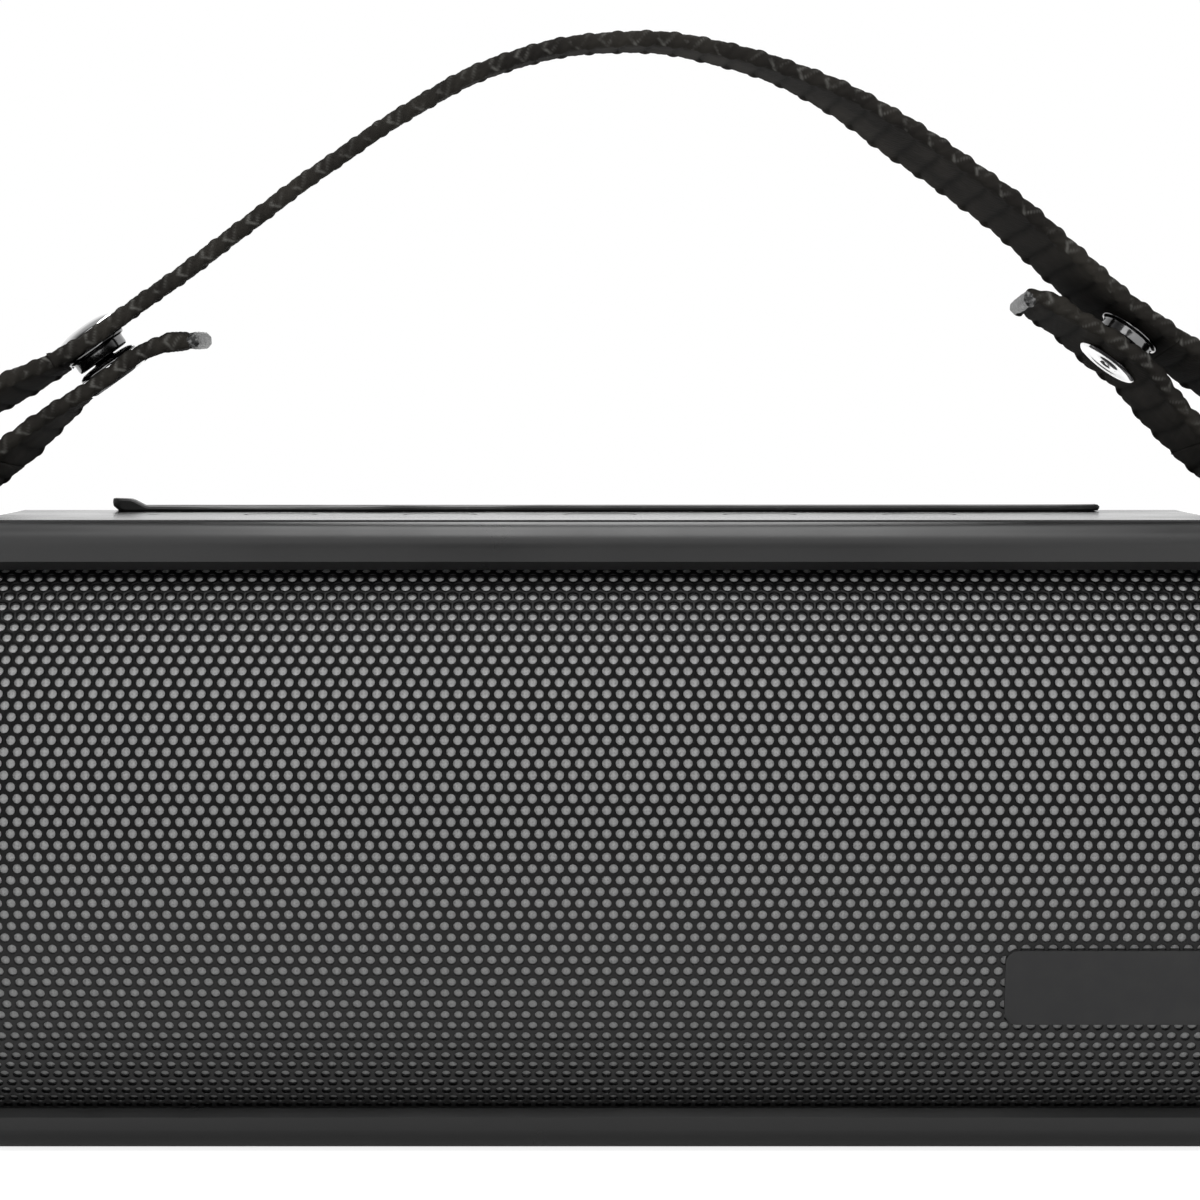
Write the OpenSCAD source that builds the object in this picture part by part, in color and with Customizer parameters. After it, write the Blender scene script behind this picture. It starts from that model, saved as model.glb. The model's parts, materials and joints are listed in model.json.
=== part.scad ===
// Portable water-resistant speaker with a carry strap.
// Millimetres. +X is right, the grille faces -Y, +Z is up.
// The origin is at the bottom centre, on the surface that the feet stand on.

/* [Case] */
// Length of the case without the strap lugs
body_w = 207; // [200:1:212]
// Depth from the crown of the grille to the back
body_d = 80; // [80:1:90]
// Height of the top deck above the table
deck_z = 94.7; // [94:0.1:98]
// Wall thickness of the shells
wall = 2.5; // [2:0.1:3]
// Height of the rubber feet that shows
foot_h = 0.6; // [0.5:0.1:1.5]

/* [Front] */
// Height of the bezel below the grille opening
bezel_low = 6; // [5:0.5:8]
// Height of the bezel above the grille opening
bezel_high = 7.4; // [6.5:0.1:9]
// Width of the chamfer round the opening
lip = 1.25; // [1:0.05:1.5]
// Radius of the bezel's upper front edge
edge_r = 4.2; // [3.5:0.1:5]
// Radius of the bezel's lower front edge
edge_low_r = 3; // [2:0.5:4]
// Radius of the grille through its middle
crown_r = 95; // [85:1:120]
// Radius of the grille near its edges
shoulder_r = 32; // [28:1:36]
// Half height of the middle arc of the grille
crown_half = 26; // [24:0.5:27]
// Thickness of the perforated sheet
sheet_t = 0.8; // [0.8:0.1:1.2]

/* [Top deck] */
// Diameter of the push buttons
button_d = 11; // [9:0.5:12]
// Distance between two buttons
button_pitch = 25; // [22:1:27]
// Length of the port flap
flap_l = 158; // [150:1:160]
// Height of the flap above the deck
flap_t = 0.95; // [0.8:0.05:1.2]

/* [Strap] */
// Width of the webbing
strap_w = 25; // [20:1:25]
// Thickness of the webbing
strap_t = 2.2; // [1.8:0.1:2.3]
// Diameter of the steel bar that each end loops round
bar_d = 5; // [4:0.5:5]
// Diameter of the snap fasteners
snap_d = 10; // [9:0.5:11]

/* [Inside] */
// Outer diameter of the speaker drivers
driver_d = 52; // [48:1:52]
// Distance from the middle to a driver's axis
driver_x = 58; // [56:1:62]
// Outer diameter of the passive radiator
radiator_d = 48; // [40:1:50]
// Diameter of a battery cell
cell_d = 18.4; // [18:0.1:18.6]
// Length of a battery cell
cell_l = 65; // [64:1:65]

/* [Hidden] */
$fn = 96;
eps = 0.01;

// The case.
half_w = body_w / 2;
half_d = body_d / 2;
base_z = foot_h;
cheek_proud = 0.7;
grille_y = -half_d + cheek_proud;
face_y = -half_d + 9;
frame_back = face_y + 9.5;
gasket_t = 0.6;
housing_front = frame_back + gasket_t;
seam_gap = 0.3;
deck_front = face_y + edge_r - 1;
top_corner_r = 10;
bottom_corner_r = 14;
cap_drop = 0.7;
cap_x = half_w - 7.5;
plateau_x = cap_x - 2.5;
rear_top_r = 5;
rear_bottom_r = 10;

// The opening in the front frame.
open_x = half_w - 6.5;
open_z0 = bezel_low + base_z;
open_z1 = deck_z - bezel_high;
open_mid = (open_z0 + open_z1) / 2;
open_half = (open_z1 - open_z0) / 2;
rebate = 2;
sheet_over = 1.2;
cloth_t = 0.5;

// The badge, set into the lower right of the grille.
badge_w = 34;
badge_h = 11.6;
badge_t = 1.4;
badge_r = 2;
badge_x = 60 + badge_w / 2;
badge_z = 25.6;
badge_proud = 0.15;
badge_gap = 0.3;

// The top deck.
button_y = 6;
button_gap = 0.35;
button_sunk = 0.03;
button_flange = 1;
flap_x0 = 1 - flap_l / 2;
flap_x1 = 1 + flap_l / 2;
flap_y0 = 22;
hinge_y = 33.3;
hinge_z = deck_z - 1.1;
hinge_r = 1.5;
pin_r = 0.6;
running_gap = 0.05;
bay_y0 = 23.5;
bay_y1 = 30.6;
bay_inset = 2.2;
panel_z = deck_z - 6.2;
panel_t = 2;
port_y = (bay_y0 + bay_y1) / 2;
port_board_z = 71;
tab_w = 5.9;
tab_h = 1.2;

// The strap bars and the lugs on the end caps.
bar_x = half_w + 5.5;
bar_z = deck_z - 5.7;
ear_r = 5;
ear_t = 3;
ear_y = strap_w / 2 + 1.7;
loop_r = bar_d / 2 + 0.35 + strap_t / 2;

// The strap's centre line, from the left snap over the top to the right snap.
arch_points = [
    [-79, 121.9], [-61, 134.9], [-43, 148.3], [-30.5, 156.7], [-18, 163.4], [-6, 167],
    [7, 167.8], [19, 166], [31, 162], [43, 155.3], [61, 142.9], [82.9, 124.2]
];
// The slope of the webbing where a snap clamps it, left and right.
slope_left = 35.5;
slope_right = -37;
// How far apart the two clamped layers lie, from middle to middle.
layer_gap = 6.1;
snap_left = [-79, 121.9];
snap_right = [82.9, 124.2];
clamp_half = 5.8;
// The runs between the snaps and the bars, and the free ends, all from the snap outwards.
outer_left = [[-91.7, 114.2], [-99.5, 110], [-106, 104.4], [-110.6, 98.4], [-112.6, 92.6]];
outer_right = [[91.6, 118.2], [99.4, 113], [105.8, 106.6], [110.5, 99.4], [112.6, 92.8]];
inner_left = [[-104.4, 92], [-102, 94.4], [-97.2, 98.6], [-92, 103.3], [-86.4, 108.4]];
inner_right = [[104.4, 92.2], [102, 95.2], [97.2, 100.4], [92, 106], [86.8, 111.6]];
end_left = [[-66.5, 121.4], [-61.2, 121.8]];
end_right = [[68.2, 127.3], [64.6, 127.6]];
// Where the tail leaves the loop, counted in points of the inner run.
bend_point = 3;
bend_gap = 0.4;
spline_steps = 4;

// The inside.
baffle_front = -24.5;
baffle_t = 3;
axis_z = open_mid;
cone_r = 19.5;
coil_r = 7;
pole_r = 6.2;
gap_r = 7.4;
magnet_r = 20;
plate_r = 18;
flange_t = 2;
flange_front = baffle_front - flange_t;
cone_depth = 11;
motor_front = flange_front + 17.5;
board_t = 1.6;
board_y = 33;
key_board_z = 85;
switch_h = 3.3;
cell_y = 18;
cell_z = base_z + wall + 10.4;
foot_r = 7;
foot_places = [[-80, -12], [80, -12], [-80, 28], [80, 28]];
case_screw_y = housing_front + 3.6;
case_screw_x = [-63, -21, 21, 63];
screw_head_r = 2.8;
screw_head_t = 1.4;
cap_sink = 2;
cap_screws = [[-6, 20], [30, 20], [-6, 72], [30, 72]];

black = [0.05, 0.05, 0.055];
rubber = [0.08, 0.08, 0.085];
steel = [0.7, 0.7, 0.72];
web = [0.09, 0.085, 0.08];
board_green = [0.05, 0.3, 0.15];
paper = [0.12, 0.12, 0.12];

// ---- Helpers ----

// A drawing in x and z, between two y.
module from_front(y0, y1) {
    translate([0, y1, 0]) rotate([90, 0, 0]) linear_extrude(y1 - y0) children();
}

// A drawing in y and z, between two x.
module from_side(x0, x1) {
    translate([x0, 0, 0]) rotate([90, 0, 90]) linear_extrude(x1 - x0) children();
}

// A drawing in x and y, between two z.
module from_top(z0, z1) {
    translate([0, 0, z0]) linear_extrude(z1 - z0) children();
}

module box(low, high) {
    translate(low) cube(high - low);
}

// A cylinder along y.
module rod_y(x, z, r, y0, y1) {
    translate([x, y1, z]) rotate([90, 0, 0]) cylinder(r = r, h = y1 - y0);
}

// A cylinder along x.
module rod_x(y, z, r, x0, x1) {
    translate([x0, y, z]) rotate([0, 90, 0]) cylinder(r = r, h = x1 - x0);
}

// A rectangle with round corners, with one radius above and one below.
module round_rect(x0, x1, y0, y1, r_high, r_low) {
    mid = (y0 + y1) / 2;
    translate([x0, y0 + r_low]) square([x1 - x0, y1 - y0 - r_high - r_low]);
    translate([x0 + r_high, mid]) square([x1 - x0 - 2 * r_high, y1 - mid]);
    translate([x0 + r_low, y0]) square([x1 - x0 - 2 * r_low, mid - y0]);
    for (x = [x0 + r_high, x1 - r_high]) translate([x, y1 - r_high]) circle(r_high);
    for (x = [x0 + r_low, x1 - r_low]) translate([x, y0 + r_low]) circle(r_low);
}

// A part of revolution about an axis along y: the drawing's x is the radius and its y runs along +y.
module turned_y(x, z) {
    translate([x, 0, z]) rotate([-90, 0, 0]) rotate_extrude() children();
}

// The case's front view, over its whole depth.
module case_outline(top) {
    from_front(-half_d, half_d)
        round_rect(-half_w, half_w, base_z, top, top_corner_r, bottom_corner_r);
}

// ---- The grille's section ----

// Angle at which the middle arc passes into the shoulders.
pass_angle = asin(crown_half / crown_r);

// Angle of the surface at a height above the middle.
function tilt_at(d) =
    abs(d) <= crown_half ? asin(abs(d) / crown_r)
    : asin(sin(pass_angle) + (abs(d) - crown_half) / shoulder_r);

// A point of the section at a tilt, set in by a thickness. Positive tilt is above the middle.
function section_point(tilt, inset) =
    let (a = abs(tilt), side = sign(tilt))
    let (r = (a <= pass_angle ? crown_r : shoulder_r) - inset)
    let (back = crown_r - shoulder_r, past = a > pass_angle)
    let (centre_d = past ? back * sin(pass_angle) : 0)
    let (centre_y = past ? crown_r - back * cos(pass_angle) : crown_r)
    [grille_y + centre_y - r * cos(a), open_mid + side * (centre_d + r * sin(a))];

// The section from the lowest to the highest point, at one inset.
function section(over, inset, steps = 14) =
    let (far = tilt_at(open_half + over))
    [for (i = [-steps:steps]) section_point(far * i / steps, inset)];

// A closed sheet of the section between two insets.
module section_sheet(over, inset, thick) {
    outer = section(over, inset);
    inner = section(over, inset + thick);
    polygon(concat(outer, [for (i = [len(inner) - 1:-1:0]) inner[i]]));
}

// The whole space behind the section, as far back as a plane.
module section_block(over, inset, back) {
    line = section(over, inset);
    polygon(concat(line, [[back, line[len(line) - 1][1]], [back, line[0][1]]]));
}

// ---- The strap's centre line ----

function turn(v, a) = [v[0] * cos(a) - v[1] * sin(a), v[0] * sin(a) + v[1] * cos(a)];

// A point of the smooth curve through p1 and p2.
function spline_point(p0, p1, p2, p3, t) =
    0.5 * (2 * p1 + (p2 - p0) * t + (2 * p0 - 5 * p1 + 4 * p2 - p3) * t * t
        + (3 * p1 - p0 - 3 * p2 + p3) * t * t * t);

// A smooth curve through a list of points.
function spline(p) =
    let (n = len(p))
    let (q = concat([2 * p[0] - p[1]], p, [2 * p[n - 1] - p[n - 2]]))
    concat(
        [for (i = [1:n - 1]) for (k = [0:spline_steps - 1])
            spline_point(q[i - 1], q[i], q[i + 1], q[i + 2], k / spline_steps)],
        [p[n - 1]]);

// The direction of a line of points at one of them.
function heading(p, i) =
    let (d = p[min(i + 1, len(p) - 1)] - p[max(i - 1, 0)])
    d / norm(d);

// The outline of a strip of webbing along a line of points.
module strip(line) {
    left = [for (i = [0:len(line) - 1]) line[i] + turn(heading(line, i), 90) * strap_t / 2];
    right = [for (i = [len(line) - 1:-1:0]) line[i] - turn(heading(line, i), 90) * strap_t / 2];
    polygon(concat(left, right));
}

// A straight piece of the line each side of a snap, and the same place on the lower layer.
function clamp_line(at, slope, side) =
    [for (k = [-1, 0, 1]) at + turn([k * clamp_half * side, 0], slope)];
function lower_snap(at, slope) = at - turn([0, layer_gap], slope);

// The arch ends a little past each snap.
function arch_line() =
    let (l = clamp_line(snap_left, slope_left, 1), r = clamp_line(snap_right, slope_right, 1))
    let (n = len(arch_points))
    spline(concat(l, [for (i = [1:n - 2]) arch_points[i]], r));

// Points round the outside of a bar, from its outer side, under it, to its inner side.
function round_bar(side) =
    [for (a = [0:30:180]) [side * (bar_x + loop_r * cos(a)), bar_z - loop_r * sin(a)]];

// The whole loop and tail on one side, from the snap outwards, round the bar and back.
function loop_line(at, slope, side, outer, inner) =
    spline(concat(
        [at + turn([side * clamp_half, 0], slope)], outer, round_bar(side),
        [for (i = [0:bend_point]) inner[i]]));
function tail_line(at, slope, side, inner, ending) =
    let (low = lower_snap(at, slope))
    spline(concat(
        [for (i = [bend_point:len(inner) - 1]) inner[i]],
        [for (k = [1, 0, -1]) low + turn([side * k * clamp_half * 0.8, 0], slope)],
        ending));

// The tail starts a small gap after the loop's end.
function trimmed(line, gap) =
    let (d = line[1] - line[0])
    concat([line[0] + d * gap / norm(d)], [for (i = [1:len(line) - 1]) line[i]]);

// Places a part of a snap: its z runs up through the webbing, with zero in the middle of a layer.
module at_snap(at, slope) {
    translate([at[0], 0, at[1]]) rotate([0, -slope, 0]) children();
}

module snap_hole(at, slope) {
    at_snap(at, slope) translate([0, 0, -strap_t]) cylinder(r = 1.6, h = 2 * strap_t);
}

// ---- Outside ----

module front_frame() {
    color(black) {
        difference() {
            intersection() {
                case_outline(deck_z - 0.1);
                from_side(-half_w, half_w) frame_section();
            }
            frame_opening();
            // A step for the front edge of the top deck.
            box([-cap_x - 0.2, deck_front - seam_gap, deck_z - wall - 0.2],
                [cap_x + 0.2, frame_back + 1, deck_z + 1]);
            // A step for the end caps' corners behind the bezel.
            for (s = [-1, 1])
                from_side(s > 0 ? cap_x + 0.2 : -half_w - 1, s > 0 ? half_w + 1 : -cap_x - 0.2)
                    translate([frame_back - 0.8, deck_z - cap_drop - 0.6]) square([2, 2]);
        }
        // Side cheeks that close the ends of the curved grille.
        for (s = [-1, 1]) intersection() {
            from_side(s > 0 ? open_x : -half_w, s > 0 ? half_w : -open_x)
                section_block(-0.6, -cheek_proud, face_y + 3);
            from_top(0, deck_z) round_rect(-half_w, half_w, -half_d, half_d, 5, 5);
            case_outline(deck_z - 0.1);
        }
        // A tongue that the case screws bite into.
        difference() {
            box([-88, frame_back, base_z + wall + 0.1], [88, housing_front + 7, base_z + wall + 3.2]);
            for (x = case_screw_x)
                translate([x, case_screw_y, 0]) cylinder(r = 1.25, h = 12);
        }
        // Webs that carry the tongue.
        for (x = [-84, 84]) {
            box([x - 4, frame_back - 2, base_z + 2], [x + 4, frame_back, open_z0 - rebate - 0.2]);
            box([x - 4, frame_back - 1, base_z + wall + 0.1], [x + 4, frame_back + 0.5, open_z0 - rebate - 0.2]);
        }
    }
}

// The bezel's section with its rounded upper and lower front edges.
module frame_section() {
    top = deck_z - 0.1;
    low_r = edge_low_r;
    difference() {
        union() {
            translate([face_y + edge_r, base_z]) square([frame_back - face_y - edge_r, top - base_z]);
            translate([face_y, base_z + low_r]) square([edge_r + eps, top - edge_r - base_z - low_r]);
            translate([face_y + low_r, base_z]) square([edge_r, low_r + eps]);
            translate([face_y + low_r, base_z + low_r]) circle(low_r);
            translate([face_y + edge_r, top - edge_r]) circle(edge_r);
        }
        translate([frame_back, 0]) square([edge_r * 2, top + 1]);
    }
}

module frame_opening() {
    from_front(face_y - 1, frame_back + 1)
        round_rect(-open_x, open_x, open_z0, open_z1, 2, 2);
    // The chamfer, as a wedge from each direction.
    intersection() {
        from_side(-half_w, half_w)
            polygon([[face_y - 1, open_z0 - lip - 1], [face_y + lip, open_z0],
                [face_y + lip, open_z1], [face_y - 1, open_z1 + lip + 1]]);
        from_top(0, deck_z)
            polygon([[-open_x - lip - 1, face_y - 1], [open_x + lip + 1, face_y - 1],
                [open_x, face_y + lip], [-open_x, face_y + lip]]);
    }
    // The rebate behind the lip, which holds the grille and the baffle.
    from_front(face_y + 2.4, frame_back + 1)
        round_rect(-open_x - rebate, open_x + rebate, open_z0 - rebate, open_z1 + rebate, 2, 2);
}

module front_grille() {
    color([0.12, 0.12, 0.125]) difference() {
        from_side(-open_x + 0.3, open_x - 0.3) section_sheet(sheet_over, 0, sheet_t);
        badge_place() badge_window();
    }
}

module grille_cloth() {
    color([0.5, 0.5, 0.5]) difference() {
        from_side(-open_x + 0.5, open_x - 0.5) section_sheet(sheet_over - 0.3, sheet_t + 0.1, cloth_t);
        badge_place() translate([0, 0, -4]) badge_window();
    }
}

// The badge's own frame: its z runs out of the grille.
badge_tilt = tilt_at(badge_z - open_mid);
badge_at = section_point(-badge_tilt, 0);
module badge_place() {
    translate([badge_x, badge_at[0], badge_at[1]]) rotate([90 + badge_tilt, 0, 0]) children();
}

module badge_window() {
    translate([0, 0, -4]) linear_extrude(8)
        round_rect(-badge_w / 2 - badge_gap, badge_w / 2 + badge_gap, -badge_h / 2 - badge_gap,
            badge_h / 2 + badge_gap, badge_r, badge_r);
}

module badge_plate() {
    color([0.2, 0.2, 0.21]) badge_place() {
        translate([0, 0, -badge_t + badge_proud]) linear_extrude(badge_t)
            round_rect(-badge_w / 2, badge_w / 2, -badge_h / 2, badge_h / 2, badge_r, badge_r);
        // Two pins that hold it to the cloth side.
        for (x = [-badge_w / 3, badge_w / 3])
            translate([x, 0, -badge_t - 1.6]) cylinder(r = 1, h = 2);
    }
}

// The housing's side view, set in by a distance.
module housing_section(inset) {
    union() {
        round_rect(0, half_d - inset, base_z + inset, deck_z - inset,
            max(rear_top_r - inset, 1), max(rear_bottom_r - inset, 1));
        translate([housing_front, base_z + inset])
            square([-housing_front + 12, deck_z - base_z - 2 * inset]);
    }
}

module main_housing() {
    color(black) difference() {
        union() {
            difference() {
                intersection() {
                    from_side(-cap_x, cap_x) housing_section(0);
                    case_outline(deck_z);
                }
                difference() {
                    from_side(-cap_x + wall, cap_x - wall) housing_section(wall);
                    port_block();
                    for (s = [-1, 1]) for (z = [32, 62])
                        rod_y(s * 54, z, 3, board_y + board_t, half_d);
                }
                box([-cap_x + wall, housing_front - 1, base_z + wall], [cap_x - wall, housing_front + 5, deck_z - wall]);
            }
            // The deck reaches forward over the frame.
            box([-cap_x, deck_front, deck_z - wall], [cap_x, housing_front + 1, deck_z]);
        }
        // The plateau's ends fall away towards the caps.
        for (s = [-1, 1]) from_front(-half_d, half_d + 1)
            polygon([[s * plateau_x, deck_z], [s * (cap_x + 1), deck_z - cap_drop * 1.4],
                [s * (cap_x + 1), deck_z + 1], [s * plateau_x, deck_z + 1]]);
        for (i = [-2:2]) translate([i * button_pitch, button_y, 0])
            translate([0, 0, deck_z - 5]) cylinder(r = button_d / 2 + button_gap, h = 6);
        // Light pipe, microphone and port bay.
        translate([-70, button_y, deck_z - 5]) cylinder(r = 1.05, h = 6);
        translate([70, button_y, deck_z - 5]) cylinder(r = 0.6, h = 6);
        box([flap_x0 + bay_inset, bay_y0, panel_z - 10], [flap_x1 - bay_inset, bay_y1, deck_z + 1]);
        // The groove for the flap's barrel, and the holes for its pin.
        box([flap_x0 - 0.3, hinge_y - 1.9, hinge_z - 1.8], [flap_x1 + 0.3, hinge_y + 2.6, deck_z + 1]);
        rod_x(hinge_y, hinge_z, pin_r + 0.02, flap_x0 - 2.3, flap_x1 + 2.3);
        for (p = foot_places) translate([p[0], p[1], base_z - 1]) cylinder(r = foot_r + 0.1, h = 2);
        for (x = case_screw_x) translate([x, case_screw_y, base_z - 1]) {
            cylinder(r = 1.5, h = 10);
            cylinder(r = screw_head_r + 0.3, h = 1.1 + screw_head_t);
        }
        for (s = [-1, 1]) for (p = cap_screws) rod_x(p[0], p[1], 1.3, s * cap_x - 6, s * cap_x + 6);
    }
}

// The thick part under the deck that holds the port bay and the hinge.
module port_block() {
    box([flap_x0 - 3, bay_y0 - 2, panel_z - panel_t], [flap_x1 + 3, half_d, deck_z]);
}

// The end caps, drawn for the right side.
module end_cap() {
    difference() {
        union() {
            difference() {
                intersection() {
                    case_outline(deck_z - cap_drop);
                    from_side(cap_x, half_w) housing_section(0);
                    from_top(0, deck_z) round_rect(-half_w, half_w, -half_d, half_d, rear_bottom_r, 5);
                }
                box([cap_x - 1, housing_front + 3, base_z + 4], [half_w - 3, half_d - 5, deck_z - 11]);
            }
            // Two ears with a gusset.
            for (s = [-1, 1]) from_front(s > 0 ? ear_y : -ear_y - ear_t, s > 0 ? ear_y + ear_t : -ear_y) {
                translate([bar_x, bar_z]) circle(ear_r);
                translate([half_w - 3, bar_z - ear_r]) square([bar_x - half_w + 3, 2 * ear_r - 2]);
                polygon([[half_w - 1, bar_z - 1], [bar_x, bar_z - ear_r], [half_w - 1, bar_z - 17]]);
            }
            // Bosses for the cap screws.
            for (p = cap_screws) rod_x(p[0], p[1], 4, cap_x, half_w - 1);
        }
        rod_y(bar_x, bar_z, bar_d / 2 + 0.02, -ear_y - ear_t - 1, ear_y + ear_t + 1);
        for (p = cap_screws) {
            rod_x(p[0], p[1], 1.6, cap_x - 1, half_w + 1);
            rod_x(p[0], p[1], screw_head_r + 0.3, half_w - cap_sink, half_w + 1);
        }
    }
}

module end_cap_right() { color(rubber) end_cap(); }
module end_cap_left() { color(rubber) mirror([1, 0, 0]) end_cap(); }

module housing_gasket() {
    color([0.02, 0.02, 0.02]) from_front(frame_back, housing_front) difference() {
        round_rect(-cap_x + 0.4, cap_x - 0.4, base_z + 0.6, deck_z - wall - 0.4, 2, 2);
        round_rect(-cap_x + 2.2, cap_x - 2.2, base_z + wall - 0.1, deck_z - wall - 2.2, 1, 1);
    }
}

module strap_bar(side) {
    color(steel) rod_y(side * bar_x, bar_z, bar_d / 2, -ear_y - ear_t, ear_y + ear_t);
}
module strap_bar_left() { strap_bar(-1); }
module strap_bar_right() { strap_bar(1); }

module rubber_feet() {
    color(rubber) for (p = foot_places) translate([p[0], p[1], 0]) rotate_extrude()
        polygon([[0, 0], [foot_r - 1, 0], [foot_r, foot_h * 0.7], [foot_r, foot_h + 1], [0, foot_h + 1]]);
}

// A pan-head screw: the head's top is at zero, and the shank runs along +z.
module screw(length) {
    difference() {
        cylinder(r = screw_head_r, h = screw_head_t);
        for (a = [0, 90]) rotate(a) translate([-1.7, -0.35, -1]) cube([3.4, 0.7, 1.8]);
    }
    translate([0, 0, 1]) cylinder(r = 1.2, h = length - 1);
}

module case_screws() {
    color(steel) {
        for (x = case_screw_x) translate([x, case_screw_y, base_z + 0.1]) screw(5.2);
        for (s = [-1, 1]) for (p = cap_screws)
            translate([s * (half_w - cap_sink + screw_head_t), p[0], p[1]]) rotate([0, -s * 90, 0]) screw(11);
    }
}

// ---- Ports ----

usb_x = 30;
micro_usb_x = -30;
aux_x = -5;
card_x = 55;

module port_panel() {
    color(rubber) difference() {
        box([flap_x0 + bay_inset + 0.1, bay_y0 + 0.1, panel_z - panel_t],
            [flap_x1 - bay_inset - 0.1, bay_y1 - 0.1, panel_z]);
        translate([aux_x, port_y, panel_z - 3]) cylinder(r = 3.05, h = 4);
        port_slot(usb_x, 13.3, 5.9);
        port_slot(micro_usb_x, 8.1, 3.1);
        port_slot(card_x, 14.1, 2.7);
    }
}

module port_slot(x, w, d) {
    box([x - w / 2, port_y - d / 2, panel_z - 3], [x + w / 2, port_y + d / 2, panel_z + 1]);
}

// A metal shell that opens upwards, with a tongue in it.
module port_shell(x, w, d, deep, skin, tongue) {
    z1 = panel_z + 0.1;
    difference() {
        box([x - w / 2, port_y - d / 2, z1 - deep], [x + w / 2, port_y + d / 2, z1]);
        box([x - w / 2 + skin, port_y - d / 2 + skin, z1 - deep + 1],
            [x + w / 2 - skin, port_y + d / 2 - skin, z1 + 1]);
    }
    box([x - w / 2 + 1.2, port_y + d / 2 - skin - tongue - 0.6, z1 - deep + 0.5],
        [x + w / 2 - 1.2, port_y + d / 2 - skin - 0.6, z1 - 1.2]);
    // Legs that stand on the port board.
    for (s = [-1, 1])
        box([x + s * (w / 2 - 0.8) - 0.5, port_y - 0.6, port_board_z + board_t],
            [x + s * (w / 2 - 0.8) + 0.5, port_y + 0.6, z1 - deep + 0.5]);
}

module usb_socket() { color(steel) port_shell(usb_x, 13.1, 5.7, 14, 0.3, 1.8); }
module micro_usb_socket() { color(steel) port_shell(micro_usb_x, 7.9, 2.9, 6, 0.3, 0.6); }
module card_socket() { color(steel) port_shell(card_x, 13.9, 2.5, 15.5, 0.3, 0.5); }

aux_r = 1.78;
aux_deep = 14.5;
module aux_jack() {
    color([0.1, 0.1, 0.1]) difference() {
        union() {
            translate([aux_x, port_y, panel_z - 4]) cylinder(r = 3, h = 4.1);
            box([aux_x - 3.2, port_y - 3.2, port_board_z + board_t], [aux_x + 3.2, port_y + 3.2, panel_z - panel_t - 0.1]);
        }
        translate([aux_x, port_y, panel_z + 0.1 - aux_deep]) cylinder(r = aux_r, h = aux_deep + 1);
    }
}

module status_led() {
    color([0.8, 0.85, 1]) translate([-70, button_y, key_board_z + board_t])
        cylinder(r = 1, h = deck_z - 0.15 - key_board_z - board_t);
}

module microphone() {
    color(steel) translate([70, button_y, deck_z - wall - 2]) cylinder(r = 3, h = 2);
}

// ---- The flap ----

module port_flap() {
    z0 = deck_z + 0.08;
    z1 = deck_z + flap_t;
    color(rubber) difference() {
        union() {
            from_top(z0, z1) {
                round_rect(flap_x0, flap_x1, flap_y0, hinge_y - 2, 1.5, 1.5);
                translate([flap_x0, flap_y0 + 3]) square([flap_l, hinge_y - flap_y0 - 3]);
            }
            rod_x(hinge_y, hinge_z, hinge_r, flap_x0, flap_x1);
            // The web between the plate and the barrel.
            box([flap_x0, hinge_y - hinge_r, hinge_z], [flap_x1, hinge_y, z1 - 0.1]);
            // The sealing rim that plugs the bay.
            difference() {
                box([flap_x0 + bay_inset + 0.5, bay_y0 + 0.7, deck_z - 2], [flap_x1 - bay_inset - 0.5, bay_y1 - 0.7, z0 + eps]);
                box([flap_x0 + bay_inset + 1.7, bay_y0 + 1.7, deck_z - 3], [flap_x1 - bay_inset - 1.7, bay_y1 - 1.7, z0]);
            }
            // The pull tab with its nail recess.
            difference() {
                from_front(flap_y0, flap_y0 + 5)
                    polygon([[flap_x0 + 1.2, z1 - eps], [flap_x0, z1 + tab_h * 0.55], [flap_x0 + 0.2, z1 + tab_h],
                        [flap_x0 + 2.2, z1 + tab_h], [flap_x0 + tab_w, z1 - eps]]);
                translate([flap_x0 - 0.6, flap_y0 - 1, z1 - 0.3]) cube([1.2, 7, 0.7]);
            }
        }
        rod_x(hinge_y, hinge_z, pin_r + running_gap, flap_x0 - 1, flap_x1 + 1);
    }
}

module flap_pin() {
    color(steel) rod_x(hinge_y, hinge_z, pin_r, flap_x0 - 2.2, flap_x1 + 2.2);
}

// ---- Buttons ----

module button(place) {
    top = deck_z - button_sunk;
    color(rubber) translate([place * button_pitch, button_y, 0]) {
        translate([0, 0, deck_z - wall - 0.5]) rotate_extrude()
            polygon([[0, 0], [button_d / 2, 0], [button_d / 2, top - deck_z + wall + 0.25],
                [button_d / 2 - 0.25, top - deck_z + wall + 0.5], [0, top - deck_z + wall + 0.46]]);
        translate([0, 0, deck_z - wall - 1.4]) cylinder(r = button_d / 2 + button_flange, h = 1);
    }
}

module power_button() { button(-2); }
module volume_down_button() { button(-1); }
module play_button() { button(0); }
module volume_up_button() { button(1); }
module mode_button() { button(2); }

// ---- The strap ----

module strap_arch() {
    color(web) difference() {
        from_front(-strap_w / 2, strap_w / 2) strip(arch_line());
        snap_hole(snap_left, slope_left);
        snap_hole(snap_right, slope_right);
    }
}

module strap_loop(at, slope, side, outer, inner) {
    color(web) from_front(-strap_w / 2, strap_w / 2)
        strip(trimmed(loop_line(at, slope, side, outer, inner), bend_gap));
}
module strap_loop_left() { strap_loop(snap_left, slope_left, -1, outer_left, inner_left); }
module strap_loop_right() { strap_loop(snap_right, slope_right, 1, outer_right, inner_right); }

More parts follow.
